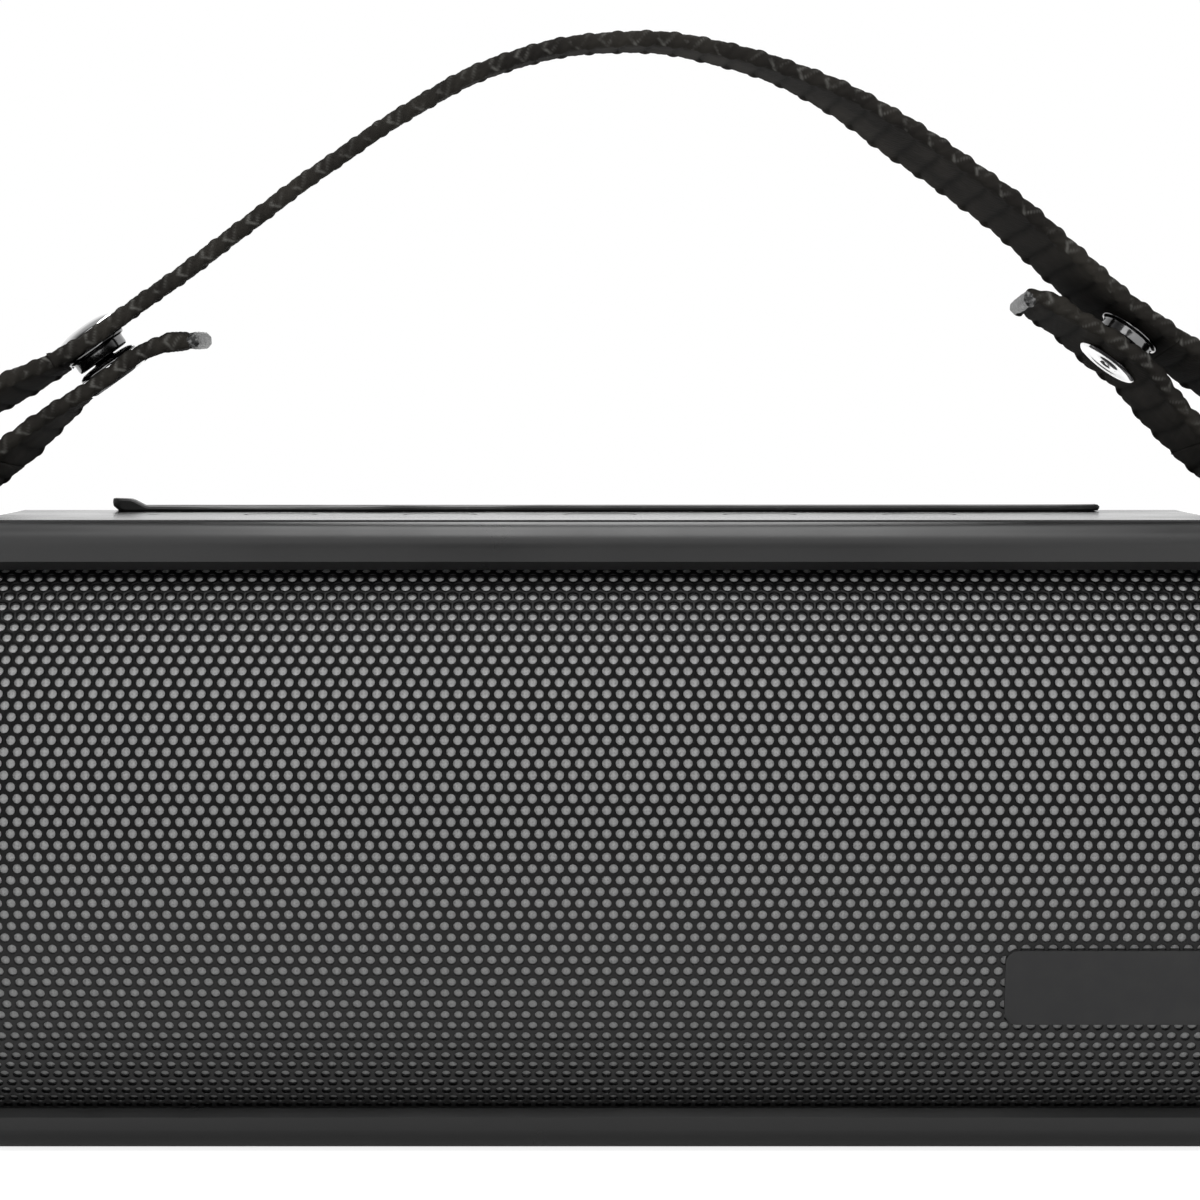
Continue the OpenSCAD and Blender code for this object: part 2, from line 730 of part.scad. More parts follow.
module strap_tail(at, slope, side, inner, ending) {
    color(web) difference() {
        from_front(-strap_w / 2, strap_w / 2)
            strip(trimmed(tail_line(at, slope, side, inner, ending), bend_gap));
        snap_hole(lower_snap(at, slope), slope);
    }
}
module strap_tail_left() { strap_tail(snap_left, slope_left, -1, inner_left, end_left); }
module strap_tail_right() { strap_tail(snap_right, slope_right, 1, inner_right, end_right); }

// The parts of one snap, each turned about the snap's axis.
module snap_cap() {
    z = strap_t / 2;
    rotate_extrude() polygon([[0, z], [snap_d / 2, z], [snap_d / 2, z + 0.35], [snap_d / 2 - 0.8, z + 0.8],
        [snap_d / 2 - 2.2, z + 1.15], [0, z + 1.3]]);
    translate([0, 0, -z - 0.6]) cylinder(r = 1.5, h = 2 * z + 0.8);
}

module snap_socket() {
    z = -strap_t / 2 - 0.12;
    deep = 1.56;
    rotate_extrude() polygon([[1.55, z], [2.6, z], [snap_d / 2, z - 0.3], [snap_d / 2, z - 0.5], [snap_d / 2 - 0.6, z - 0.7],
        [snap_d / 2 - 0.9, z - deep], [2.4, z - deep], [2.4, z - 0.75], [1.55, z - 0.75]]);
}

module snap_stud() {
    z = strap_t / 2 + 0.15;
    rotate_extrude() polygon([[1.25, z], [snap_d / 2, z], [snap_d / 2, z + 0.4], [snap_d / 2 - 1, z + 0.9],
        [1.7, z + 1.1], [1.55, z + 1.6], [1.7, z + 2.25], [1.4, z + 2.65], [1.25, z + 2.65]]);
}

module snap_post() {
    z = -strap_t / 2;
    rotate_extrude() polygon([[0.7, z], [snap_d / 2, z], [snap_d / 2, z - 0.4], [snap_d / 2 - 0.9, z - 0.9],
        [2.4, z - 0.7], [1.4, z - 0.6], [0.7, z - 0.6]]);
    difference() {
        translate([0, 0, z - 0.1]) cylinder(r = 1.2, h = strap_t + 2.2);
        translate([0, 0, z - 1]) cylinder(r = 0.7, h = strap_t + 4);
    }
}

module snap_cap_left() { color(steel) at_snap(snap_left, slope_left) snap_cap(); }
module snap_cap_right() { color(steel) at_snap(snap_right, slope_right) snap_cap(); }
module snap_socket_left() { color(steel) at_snap(snap_left, slope_left) snap_socket(); }
module snap_socket_right() { color(steel) at_snap(snap_right, slope_right) snap_socket(); }
module snap_stud_left() { color(steel) at_snap(lower_snap(snap_left, slope_left), slope_left) snap_stud(); }
module snap_stud_right() { color(steel) at_snap(lower_snap(snap_right, slope_right), slope_right) snap_stud(); }
module snap_post_left() { color(steel) at_snap(lower_snap(snap_left, slope_left), slope_left) snap_post(); }
module snap_post_right() { color(steel) at_snap(lower_snap(snap_right, slope_right), slope_right) snap_post(); }

// ---- Inside ----

module front_baffle() {
    color([0.06, 0.06, 0.06]) difference() {
        union() {
            from_front(baffle_front, baffle_front + baffle_t)
                round_rect(-open_x - rebate + 0.4, open_x + rebate - 0.4,
                    open_z0 - rebate + 0.4, open_z1 + rebate - 0.4, 2, 2);
            // Rails that press the edges of the grille forward.
            for (z = [open_z0 + 1.3, open_z1 - 3.3])
                box([-open_x + 4, baffle_front - 1.3, z], [open_x - 4, baffle_front + eps, z + 2]);
        }
        for (s = [-1, 1]) rod_y(s * driver_x, axis_z, driver_d / 2 - 3.4, baffle_front - 1, baffle_front + 5);
        rod_y(0, axis_z, radiator_d / 2 - 3, baffle_front - 1, baffle_front + 5);
    }
}

module driver_basket(side) {
    r = driver_d / 2;
    color([0.15, 0.15, 0.16]) difference() {
        turned_y(side * driver_x, axis_z)
            polygon([[r - 5, flange_front], [r, flange_front], [r, baffle_front], [r - 3.6, baffle_front],
                [plate_r, motor_front - 2], [plate_r, motor_front], [gap_r + 0.8, motor_front],
                [gap_r + 0.8, motor_front - 1.4], [plate_r - 2, motor_front - 1.4],
                [r - 5, baffle_front + 0.5]]);
        // Four windows between the arms.
        for (a = [0:90:270]) translate([side * driver_x, 0, axis_z]) rotate([0, a + 45, 0])
            box([-9, baffle_front + 1.5, 8], [9, motor_front - 2.2, r + 1]);
    }
}
module driver_basket_left() { driver_basket(-1); }
module driver_basket_right() { driver_basket(1); }

module driver_motor(side) {
    y = motor_front;
    color([0.3, 0.3, 0.32]) turned_y(side * driver_x, axis_z)
        polygon([[gap_r, y], [plate_r, y], [plate_r, y + 3], [magnet_r, y + 3], [magnet_r, y + 12],
            [plate_r, y + 12], [plate_r, y + 15], [0, y + 15], [0, y], [pole_r, y], [pole_r, y + 12],
            [11, y + 12], [11, y + 3], [gap_r, y + 3]]);
}
module driver_motor_left() { driver_motor(-1); }
module driver_motor_right() { driver_motor(1); }

// A half-roll edge between two radii, standing on a plane.
module half_roll(r0, r1, y) {
    mid = (r0 + r1) / 2;
    rise = (r1 - r0) / 2 - 1.2;
    skin = 0.6;
    difference() {
        union() {
            translate([r0, y - skin]) square([r1 - r0, skin]);
            translate([mid, y]) circle(rise);
        }
        translate([mid, y]) circle(rise - skin);
        translate([0, y]) square([r1 + 1, 10]);
    }
}

module driver_surround(side) {
    color(rubber) turned_y(side * driver_x, axis_z) half_roll(cone_r + 0.2, driver_d / 2 - 0.8, flange_front);
}
module driver_surround_left() { driver_surround(-1); }
module driver_surround_right() { driver_surround(1); }

module driver_spider(side) {
    y = motor_front - 4.6;
    waves = 3;
    r0 = coil_r + 0.4;
    step = (plate_r - 2.6 - r0) / (2 * waves);
    top = [for (i = [0:2 * waves]) [r0 + i * step, y + (i % 2 == 0 ? 0 : 0.8)]];
    bottom = [for (i = [2 * waves:-1:0]) [r0 + i * step, y + 0.5 + (i % 2 == 0 ? 0 : 0.8)]];
    color([0.6, 0.45, 0.2]) turned_y(side * driver_x, axis_z) polygon(concat(top, bottom));
}
module driver_spider_left() { driver_spider(-1); }
module driver_spider_right() { driver_spider(1); }

module driver_cone(side) {
    y = flange_front + 0.3;
    skin = 0.7;
    color(paper) turned_y(side * driver_x, axis_z) {
        polygon([[cone_r, y - 1], [cone_r, y - 1 + skin], [coil_r, y + cone_depth], [coil_r, y + cone_depth - 1.1],
            [cone_r - 1.6, y - 1]]);
        // The dust cap.
        polygon([[0, y + 2.4], [5, y + 3.1], [9, y + 5.4], [11.9, y + 6], [10.4, y + 6.4],
            [8.4, y + 6], [4.8, y + 3.8], [0, y + 3.1]]);
    }
}
module driver_cone_left() { driver_cone(-1); }
module driver_cone_right() { driver_cone(1); }

module voice_coil(side) {
    y = flange_front + 0.3 + cone_depth - 0.4;
    color([0.7, 0.4, 0.15]) turned_y(side * driver_x, axis_z)
        translate([coil_r - 0.4, y]) square([0.4, motor_front + 6 - y]);
}
module voice_coil_left() { voice_coil(-1); }
module voice_coil_right() { voice_coil(1); }

module radiator_frame() {
    r = radiator_d / 2;
    color([0.15, 0.15, 0.16]) turned_y(0, axis_z)
        polygon([[r - 4.6, flange_front], [r, flange_front], [r, baffle_front], [r - 3.2, baffle_front],
            [r - 3.2, baffle_front + baffle_t], [r - 4.6, baffle_front + baffle_t]]);
}

module radiator_surround() {
    color(rubber) turned_y(0, axis_z) half_roll(radiator_d / 2 - 9.8, radiator_d / 2 - 1, flange_front);
}

module radiator_plate() {
    r = radiator_d / 2 - 10;
    color([0.25, 0.25, 0.26]) turned_y(0, axis_z)
        polygon([[0, flange_front - 0.6], [r - 2, flange_front - 0.6], [r, flange_front],
            [r, flange_front + 1.4], [0, flange_front + 1.4]]);
}

module battery_cells() {
    color([0.2, 0.35, 0.6]) for (s = [-1, 1])
        translate([s * (cell_l / 2 + 2), cell_y, cell_z]) rotate([0, 90, 0]) {
            translate([0, 0, -cell_l / 2]) cylinder(r = cell_d / 2, h = cell_l - 1);
            translate([0, 0, cell_l / 2 - 1 - eps]) cylinder(r = 3.2, h = 1);
        }
}

module battery_holder() {
    reach = cell_l + 5;
    color([0.08, 0.08, 0.08]) difference() {
        box([-reach, cell_y - 11.4, base_z + wall], [reach, cell_y + 11.4, cell_z + 3]);
        for (s = [-1, 1]) rod_x(cell_y, cell_z, cell_d / 2 + 0.15,
            s > 0 ? 1.2 : -reach + 1.4, s > 0 ? reach - 1.4 : -1.2);
        for (s = [-1, 1]) box([s > 0 ? 1.2 : -reach + 1.4, cell_y - cell_d / 2 - 0.15, cell_z],
            [s > 0 ? reach - 1.4 : -1.2, cell_y + cell_d / 2 + 0.15, cell_z + 10]);
    }
}

module main_board() {
    color(board_green) {
        difference() {
            from_front(board_y, board_y + board_t) round_rect(-60, 60, 27, 67, 1.5, 1.5);
            for (x = [-54, 54]) for (z = [32, 62]) rod_y(x, z, 1.4, board_y - 1, board_y + 3);
        }
        // Amplifier, radio module, capacitors and plugs.
        box([-8, board_y - 2, 42], [8, board_y + eps, 56]);
        box([20, board_y - 2.6, 38], [38, board_y + eps, 52]);
        for (x = [-40, -28, 44]) rod_y(x, 46, 4, board_y - 10, board_y + eps);
        for (x = [-44, -24, 24, 44]) box([x - 4, board_y - 5.5, 60], [x + 4, board_y + eps, 64.5]);
    }
}

module key_board() {
    color(board_green) {
        difference() {
            box([-74, button_y - 9, key_board_z], [63, button_y + 9, key_board_z + board_t]);
            for (x = [-72, 61]) for (y = [-6.5, 6.5])
                translate([x, button_y + y, key_board_z - 1]) cylinder(r = 1.1, h = 4);
        }
        for (i = [-2:2]) translate([i * button_pitch, button_y, key_board_z + board_t]) {
            translate([-3, -3, 0]) cube([6, 6, switch_h - 0.9]);
            cylinder(r = 1.6, h = switch_h);
        }
    }
}

module port_board() {
    color(board_green) box([flap_x0 + 4, bay_y0 + 0.2, port_board_z], [flap_x1 - 4, bay_y1 + 1.4, port_board_z + board_t]);
}

front_frame();
front_grille();
grille_cloth();
badge_plate();
main_housing();
end_cap_left();
end_cap_right();
housing_gasket();
strap_bar_left();
strap_bar_right();
rubber_feet();
case_screws();
port_panel();
micro_usb_socket();
usb_socket();
aux_jack();
card_socket();
status_led();
microphone();
port_flap();
flap_pin();
power_button();
volume_down_button();
play_button();
volume_up_button();
mode_button();
strap_arch();
strap_loop_left();
strap_loop_right();
strap_tail_left();
strap_tail_right();
snap_cap_left();
snap_cap_right();
snap_socket_left();
snap_socket_right();
snap_stud_left();
snap_stud_right();
snap_post_left();
snap_post_right();
front_baffle();
driver_basket_left();
driver_basket_right();
driver_motor_left();
driver_motor_right();
driver_surround_left();
driver_surround_right();
driver_spider_left();
driver_spider_right();
driver_cone_left();
driver_cone_right();
voice_coil_left();
voice_coil_right();
radiator_frame();
radiator_surround();
radiator_plate();
battery_cells();
battery_holder();
main_board();
key_board();
port_board();
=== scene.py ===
"""A portable speaker with a carry strap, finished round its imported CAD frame.

Everything is in metres in the frame's own axes: +X right, the grille faces -Y, +Z up.
"""

import json
import math

import bpy
import numpy as np
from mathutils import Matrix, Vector


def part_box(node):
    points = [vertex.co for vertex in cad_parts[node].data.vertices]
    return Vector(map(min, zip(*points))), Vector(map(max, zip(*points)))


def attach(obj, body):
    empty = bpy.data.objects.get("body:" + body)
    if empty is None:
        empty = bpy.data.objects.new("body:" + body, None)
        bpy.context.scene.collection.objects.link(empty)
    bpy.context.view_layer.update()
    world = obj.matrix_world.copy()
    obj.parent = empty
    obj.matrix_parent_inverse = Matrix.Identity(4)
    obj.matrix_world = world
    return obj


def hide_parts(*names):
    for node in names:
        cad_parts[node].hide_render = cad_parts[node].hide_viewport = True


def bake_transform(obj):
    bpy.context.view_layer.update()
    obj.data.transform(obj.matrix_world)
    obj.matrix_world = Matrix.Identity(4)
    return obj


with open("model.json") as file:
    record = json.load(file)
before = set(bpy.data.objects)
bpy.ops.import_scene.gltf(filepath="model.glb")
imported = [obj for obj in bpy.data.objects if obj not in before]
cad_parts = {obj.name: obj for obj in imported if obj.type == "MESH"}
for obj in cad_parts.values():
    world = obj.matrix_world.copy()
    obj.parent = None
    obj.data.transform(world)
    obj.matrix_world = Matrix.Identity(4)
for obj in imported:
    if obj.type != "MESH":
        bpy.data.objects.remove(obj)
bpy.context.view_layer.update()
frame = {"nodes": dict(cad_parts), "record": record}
nodes = frame["nodes"]
MM = 0.001


# ---- Camera, light and floor ----

CAMERA_AT = (0.0, -0.7393, 0.11304)
CAMERA_PITCH = 2.44
LENS = 142.86

# Each softbox: its name, where it is, what it faces, its size, its power in watts and its shape.
SOFTBOXES = [
    ("top_softbox", (0, 0.5, 0.6), (0, 0.5, 0.09), (0.2, 1.8), 5.4, "RECTANGLE"),
    ("front_softbox", (-0.1, -1.1, 1.25), (0, 0, 0.06), (1.7, 1.5), 7.5, "ELLIPSE"),
    ("left_softbox", (-0.58, -1.6, 0.4), (0, 0, 0.05), (0.7, 0.9), 3, "ELLIPSE"),
    ("right_softbox", (0.58, -1.6, 0.4), (0, 0, 0.05), (0.7, 0.9), 3, "ELLIPSE"),
]
FLOOR_HALF = 4.0


def make_camera():
    """The camera looks along +Y, a little above the deck and slightly down."""
    data = bpy.data.cameras.new("camera")
    data.lens = LENS
    data.sensor_width = 36
    data.clip_start = 0.01
    camera = bpy.data.objects.new("camera", data)
    bpy.context.collection.objects.link(camera)
    camera.location = CAMERA_AT
    camera.rotation_euler = (math.radians(90 - CAMERA_PITCH), 0, 0)
    bpy.context.scene.camera = camera


def make_area_light(name, at, towards, size, power, shape):
    """A softbox at one point that faces another."""
    data = bpy.data.lights.new(name, "AREA")
    data.shape = shape
    data.size, data.size_y = size
    data.energy = power
    light = bpy.data.objects.new(name, data)
    bpy.context.collection.objects.link(light)
    light.location = at
    aim = Vector(towards) - Vector(at)
    light.rotation_euler = aim.to_track_quat("-Z", "Y").to_euler()


def smooth_ramp(tree, value, low, high, new_low, new_high):
    """A socket that goes smoothly from one level to another as a value goes from low to high."""
    ramp = tree.nodes.new("ShaderNodeMapRange")
    ramp.interpolation_type = "SMOOTHSTEP"
    levels = {"From Min": low, "From Max": high, "To Min": new_low, "To Max": new_high}
    for name, level in levels.items():
        ramp.inputs[name].default_value = level
    tree.links.new(value, ramp.inputs["Value"])
    return ramp.outputs["Result"]


def combine(tree, operation, first, second):
    """A socket with the result of one operation on two others."""
    node = tree.nodes.new("ShaderNodeMath")
    node.operation = operation
    tree.links.new(first, node.inputs[0])
    tree.links.new(second, node.inputs[1])
    return node.outputs[0]


def make_world():
    """A white studio: bright behind the object, dim in front of it and softer overhead."""
    world = bpy.data.worlds.new("studio")
    world.use_nodes = True
    tree = world.node_tree
    place = tree.nodes.new("ShaderNodeTexCoord")
    split = tree.nodes.new("ShaderNodeSeparateXYZ")
    tree.links.new(place.outputs["Generated"], split.inputs[0])
    behind = smooth_ramp(tree, split.outputs["Y"], -0.45, 0.35, 0.14, 1.0)
    overhead = smooth_ramp(tree, split.outputs["Z"], 0.3, 0.65, 1.0, 0.5)
    level = combine(tree, "MULTIPLY", behind, overhead)
    path = tree.nodes.new("ShaderNodeLightPath")
    seen = combine(tree, "MAXIMUM", path.outputs["Is Camera Ray"], level)
    background = tree.nodes["Background"]
    tree.links.new(seen, background.inputs["Strength"])
    background.inputs["Color"].default_value = (1, 1, 1, 1)
    bpy.context.scene.world = world
    bpy.context.scene.view_settings.view_transform = "Standard"


def make_stage():
    """The softboxes and a pale floor. To the camera it glows evenly white; to the object its glow is painted
    shadow near it and painted light further out.
    """
    for softbox in SOFTBOXES:
        make_area_light(*softbox)
    half = FLOOR_HALF
    mesh = bpy.data.meshes.new("floor")
    mesh.from_pydata(
        [(-half, -half, 0), (half, -half, 0), (half, half, 0), (-half, half, 0)], [], [(0, 1, 2, 3)]
    )
    floor = bpy.data.objects.new("floor", mesh)
    bpy.context.collection.objects.link(floor)
    paint = Paint("floor_white", (0.9, 0.9, 0.895), 0.6, Emission_Color=(1, 1, 1, 1))
    seen = paint.add("LightPath").outputs["Is Camera Ray"]
    far = paint.add("VectorMath", {0: paint.place}, operation="LENGTH").outputs["Value"]
    # Painted shadow and light: to the object, the floor's glow is dim close to it and rises further out.
    painted_shadow_falloff = paint.remap(far, 0.1, 0.6, 0.075, 0.5)
    glow = paint.math("MAXIMUM", painted_shadow_falloff, paint.math("MULTIPLY", seen, 0.85))
    paint.tree.links.new(glow, paint.shader.inputs["Emission Strength"])
    paint.bump(paint.noise(140), 0.05, 0.0002)
    mesh.materials.append(paint.material)


# ---- Materials ----


class Paint:
    """A Principled material with helpers for the few kinds of node that the finishes use."""

    def __init__(self, name, colour, roughness, metallic=0.0, **sockets):
        self.material = bpy.data.materials.new(name)
        self.material.use_nodes = True
        self.tree = self.material.node_tree
        self.shader = self.tree.nodes["Principled BSDF"]
        self.set("Base Color", (*colour, 1))
        self.set("Roughness", roughness)
        self.set("Metallic", metallic)
        for socket, value in sockets.items():
            self.set(socket.replace("_", " "), value)
        self.colour = colour
        self.place = self.add("TexCoord").outputs["Object"]

    def set(self, socket, value):
        self.shader.inputs[socket].default_value = value

    def add(self, kind, inputs=None, **settings):
        """A node of one kind. An input is a value, or the output socket that feeds it."""
        node = self.tree.nodes.new("ShaderNode" + kind)
        for key, value in settings.items():
            setattr(node, key, value)
        for key, value in (inputs or {}).items():
            if isinstance(value, bpy.types.NodeSocket):
                self.tree.links.new(value, node.inputs[key])
            else:
                node.inputs[key].default_value = value
        return node

    def stretched(self, factors):
        """The object's coordinates, multiplied along each axis."""
        return self.add("Mapping", {"Vector": self.place, "Scale": factors}).outputs[0]

    def noise(self, scale, detail=2.0, place=None):
        inputs = {"Vector": place or self.place, "Scale": scale, "Detail": detail, "Roughness": 0.55}
        return self.add("TexNoise", inputs).outputs["Fac"]

    def cells(self, scale, feature="F1", output="Distance"):
        node = self.add("TexVoronoi", {"Vector": self.place, "Scale": scale}, feature=feature)
        return node.outputs[output]

    def height(self):
        """How high a point is above the floor."""
        return self.add("SeparateXYZ", {0: self.place}).outputs["Z"]

    def wave(self, scale, direction, place=None, distortion=0.0):
        inputs = {"Vector": place or self.place, "Scale": scale, "Distortion": distortion}
        return self.add("TexWave", inputs, bands_direction=direction).outputs["Fac"]

    def remap(self, value, low, high, new_low, new_high):
        inputs = {"Value": value, "From Min": low, "From Max": high, "To Min": new_low, "To Max": new_high}
        return self.add("MapRange", inputs).outputs["Result"]

    def math(self, operation, a, b):
        return self.add("Math", {0: a, 1: b}, operation=operation).outputs[0]

    def tint(self, mask, other, base=None):
        """The base colour turns into another one where the mask is 1."""
        first = base or (*self.colour, 1)
        mix = self.add("Mix", {"Factor": mask, "A": first, "B": (*other, 1)}, data_type="RGBA")
        self.tree.links.new(mix.outputs["Result"], self.shader.inputs["Base Color"])
        return mix.outputs["Result"]

    def vary_roughness(self, value, low, high):
        self.tree.links.new(self.remap(value, 0.3, 0.7, low, high), self.shader.inputs["Roughness"])

    def bump(self, height, strength, distance, normal=None):
        inputs = {"Height": height, "Strength": strength, "Distance": distance}
        if normal:
            inputs["Normal"] = normal
        node = self.add("Bump", inputs)
        self.tree.links.new(node.outputs["Normal"], self.shader.inputs["Normal"])
        return node.outputs["Normal"]


def grey(value):
    """A neutral colour."""
    return (value, value, value)


def moulded(name, level, roughness, grain=2600):
    """Injection-moulded plastic: a fine satin grain, faint flow marks and uneven gloss."""
    paint = Paint(name, (level, level, level * 1.03), roughness)
    flow = paint.noise(18, 3, paint.stretched((0.35, 1.6, 1.6)))
    paint.tint(paint.remap(flow, 0.35, 0.7, 0, 1), grey(level * 1.35))
    paint.vary_roughness(paint.noise(45, 4), roughness - 0.05, roughness + 0.06)
    soft = paint.bump(paint.noise(9, 1), 0.3, 0.0002)
    paint.bump(paint.noise(grain, 2), 0.35, 0.00001, soft)
    return paint.material


def powder_coat():
    """Black paint on the perforated sheet, with a painted reflection of the pale floor towards the bottom,
    and the odd bright speck.
    """
    paint = Paint("grille_black", (0.0025, 0.0025, 0.0026), 0.3, Specular_IOR_Level=0.13)
    paint.vary_roughness(paint.noise(300, 3), 0.26, 0.38)
    # Painted reflection of the pale floor: the paint turns lighter towards the bottom.
    painted_floor_reflection = paint.tint(paint.remap(paint.height(), 0.05, 0.012, 0, 1), grey(0.034))
    speck = paint.math("GREATER_THAN", paint.cells(900, output="Color"), 0.985)
    paint.tint(speck, grey(0.2), painted_floor_reflection)
    paint.bump(paint.noise(5200, 2), 0.25, 0.000008)
    return paint.material


def bare_bore():
    """Bare steel inside the holes, which are punched after the sheet is painted."""
    paint = Paint("grille_bore", (0.085, 0.085, 0.087), 0.2, 1.0)
    paint.vary_roughness(paint.noise(400, 3), 0.14, 0.28)
    paint.bump(paint.noise(3000, 2), 0.2, 0.000008)
    return paint.material


def acoustic_cloth():
    """A light grey knit behind the grille, with a fine weave, and painted shade that darkens it towards the
    bottom.
    """
    paint = Paint("cloth_grey", (0.72, 0.72, 0.72), 0.85, Sheen_Weight=0.2)
    across = paint.wave(620, "X")
    up = paint.wave(620, "Z")
    weave = paint.math("MULTIPLY", across, up)
    grain = paint.noise(2400, 3)
    mottled = paint.tint(paint.math("MULTIPLY", weave, grain), grey(0.5))
    # Painted shade: the grey darkens towards the bottom.
    paint.tint(paint.remap(paint.height(), 0.075, 0.012, 0, 1), grey(0.38), mottled)
    paint.bump(paint.math("ADD", weave, grain), 0.6, 0.00008)
    return paint.material


def webbing_cloth():
    """Dark webbing, with painted highlights on its edge loops and painted shade in its creases. The UV's u
    runs along the strap and v round it, both in metres.
    """
    paint = Paint("webbing", (0.0175, 0.0163, 0.0148), 0.9, Specular_IOR_Level=0.03)
    yarns = paint.add("TexCoord").outputs["UV"]
    fibre = paint.noise(1500, 4, yarns)
    strands = paint.wave(420, "DIAGONAL", yarns, 7.0)
    loop_glints = paint.add("Attribute", attribute_name="loop_glint").outputs["Fac"]
    crease_shade = paint.add("Attribute", attribute_name="crease_shade").outputs["Fac"]
    brown = paint.tint(paint.remap(paint.noise(75, 3), 0.4, 0.65, 0, 1), (0.03, 0.0277, 0.0242))
    # Painted shade: the creases between ribs and between edge loops are darkened.
    dark = paint.tint(paint.math("MULTIPLY", crease_shade, 0.5), (0.005, 0.005, 0.005), brown)
    # Painted highlights: pale flecks on the edge loops, broken up by noise.
    loop_highlight = paint.math("MULTIPLY", loop_glints, paint.remap(paint.noise(520, 3), 0.42, 0.62, 0, 1))
    paint.tint(loop_highlight, (0.12, 0.118, 0.11), dark)
    soft = paint.bump(strands, 0.3, 0.00014)
    paint.bump(fibre, 0.7, 0.00014, soft)
    return paint.material


def melted_end():
    """Webbing yarns melted into a pale grey crust by the hot knife."""
    paint = Paint("webbing_sealed", (0.01, 0.01, 0.01), 0.45)
    blobs = paint.noise(1300, 5)
    paint.tint(paint.remap(blobs, 0.48, 0.6, 0, 1), grey(0.17))
    paint.bump(blobs, 0.9, 0.0003)
    return paint.material


def plated_steel(name, level, roughness):
    """Plated steel with fine scratches and faint clouding."""
    paint = Paint(name, (level, level, level * 1.01), roughness, 1.0)
    paint.tint(paint.remap(paint.noise(120, 4), 0.4, 0.7, 0, 1), grey(level * 0.8))
    streaks = paint.noise(380, 5, paint.stretched((1, 1, 6)))
    paint.vary_roughness(streaks, roughness * 0.7, roughness * 1.5)
    paint.bump(paint.noise(2200, 3, paint.stretched((1, 1, 9))), 0.2, 0.00001)
    return paint.material


def soft_rubber():
    """Soft matte rubber, with dust in its grain."""
    paint = Paint("rubber_black", (0.018, 0.018, 0.01764), 0.6, Specular_IOR_Level=0.4)
    paint.tint(paint.remap(paint.noise(700, 5), 0.55, 0.75, 0, 1), grey(0.0396))
    paint.vary_roughness(paint.noise(90, 3), 0.54, 0.68)
    paint.bump(paint.noise(3600, 2), 0.4, 0.000012)
    return paint.material


def badge_paint():
    """Matte dark grey paint on a metal plate."""
    paint = Paint("badge_grey", (0.022, 0.022, 0.023), 0.5, Specular_IOR_Level=0.3)
    paint.tint(paint.remap(paint.noise(240, 3), 0.4, 0.7, 0, 1), grey(0.027))
    paint.bump(paint.noise(3800, 3), 0.3, 0.00001)
    return paint.material


def ferrite():
    paint = Paint("magnet", (0.1, 0.1, 0.105), 0.5, 0.6)
    paint.tint(paint.remap(paint.noise(260, 5), 0.4, 0.65, 0, 1), grey(0.2))
    paint.bump(paint.noise(1400, 4), 0.5, 0.00003)
    return paint.material


def pressed_paper():
    paint = Paint("cone_paper", (0.05, 0.05, 0.048), 0.9)
    fibres = paint.noise(1500, 6, paint.stretched((1, 1, 2)))
    paint.tint(paint.remap(fibres, 0.45, 0.7, 0, 1), (0.11, 0.108, 0.1))
    paint.bump(fibres, 0.6, 0.00006)
    return paint.material


def stiff_cloth():
    paint = Paint("spider_cloth", (0.5, 0.34, 0.13), 0.8)
    weave = paint.math("MULTIPLY", paint.wave(420, "X"), paint.wave(420, "Z"))
    paint.tint(weave, (0.62, 0.46, 0.22))
    paint.bump(weave, 0.7, 0.0001)
    return paint.material


def winding():
    paint = Paint("copper", (0.72, 0.38, 0.18), 0.3, 1.0)
    turns = paint.wave(1500, "Y")
    paint.tint(turns, (0.5, 0.22, 0.09))
    paint.bump(turns, 0.6, 0.00006)
    return paint.material


def circuit_board():
    """Green solder mask with darker traces and bright pads."""
    paint = Paint("board", (0.015, 0.12, 0.05), 0.35, Coat_Weight=0.4)
    traces = paint.cells(420, "DISTANCE_TO_EDGE")
    paint.tint(paint.remap(traces, 0.05, 0.09, 1, 0), (0.01, 0.2, 0.08))
    paint.bump(traces, 0.3, 0.00002)
    return paint.material


def shrink_sleeve():
    paint = Paint("cell_wrap", (0.03, 0.11, 0.38), 0.3, Coat_Weight=0.3)
    creases = paint.noise(60, 4, paint.stretched((0.4, 2, 2)))
    paint.tint(paint.remap(creases, 0.45, 0.7, 0, 1), (0.05, 0.16, 0.5))
    paint.bump(creases, 0.4, 0.0002)
    return paint.material


def frosted_pipe():
    paint = Paint("light_pipe", (0.85, 0.88, 0.92), 0.35, Transmission_Weight=0.6)
    paint.tint(paint.noise(900, 3), (0.7, 0.74, 0.8))
    paint.bump(paint.noise(1800, 2), 0.3, 0.00002)
    return paint.material


def make_finishes():
    """One material for each slot of the record."""
    return {
        "case_black": moulded("case_black", 0.007, 0.31),
        "deck_black": moulded("deck_black", 0.02, 0.2),
        "grille_black": powder_coat(),
        "cloth_grey": acoustic_cloth(),
        "badge_grey": badge_paint(),
        "rubber_black": soft_rubber(),
        "snap_steel": plated_steel("snap_steel", 0.7, 0.06),
        "snap_dark": plated_steel("snap_dark", 0.2, 0.12),
        "steel": plated_steel("steel", 0.6, 0.28),
        "webbing": webbing_cloth(),
        "inner_black": moulded("inner_black", 0.03, 0.5, grain=1600),
        "magnet": ferrite(),
        "cone_paper": pressed_paper(),
        "spider_cloth": stiff_cloth(),
        "copper": winding(),
        "board": circuit_board(),
        "cell_wrap": shrink_sleeve(),
        "light_pipe": frosted_pipe(),
    }


def paint_frame(finishes):
    """Each CAD node takes the material of its slot in the record."""
    slots = {part["node"]: part["material_slot"] for part in frame["record"]["subparts"]}
    for name, node in nodes.items():
        node.data.materials.clear()
        node.data.materials.append(finishes[slots[name]])


# ---- Mesh helpers ----


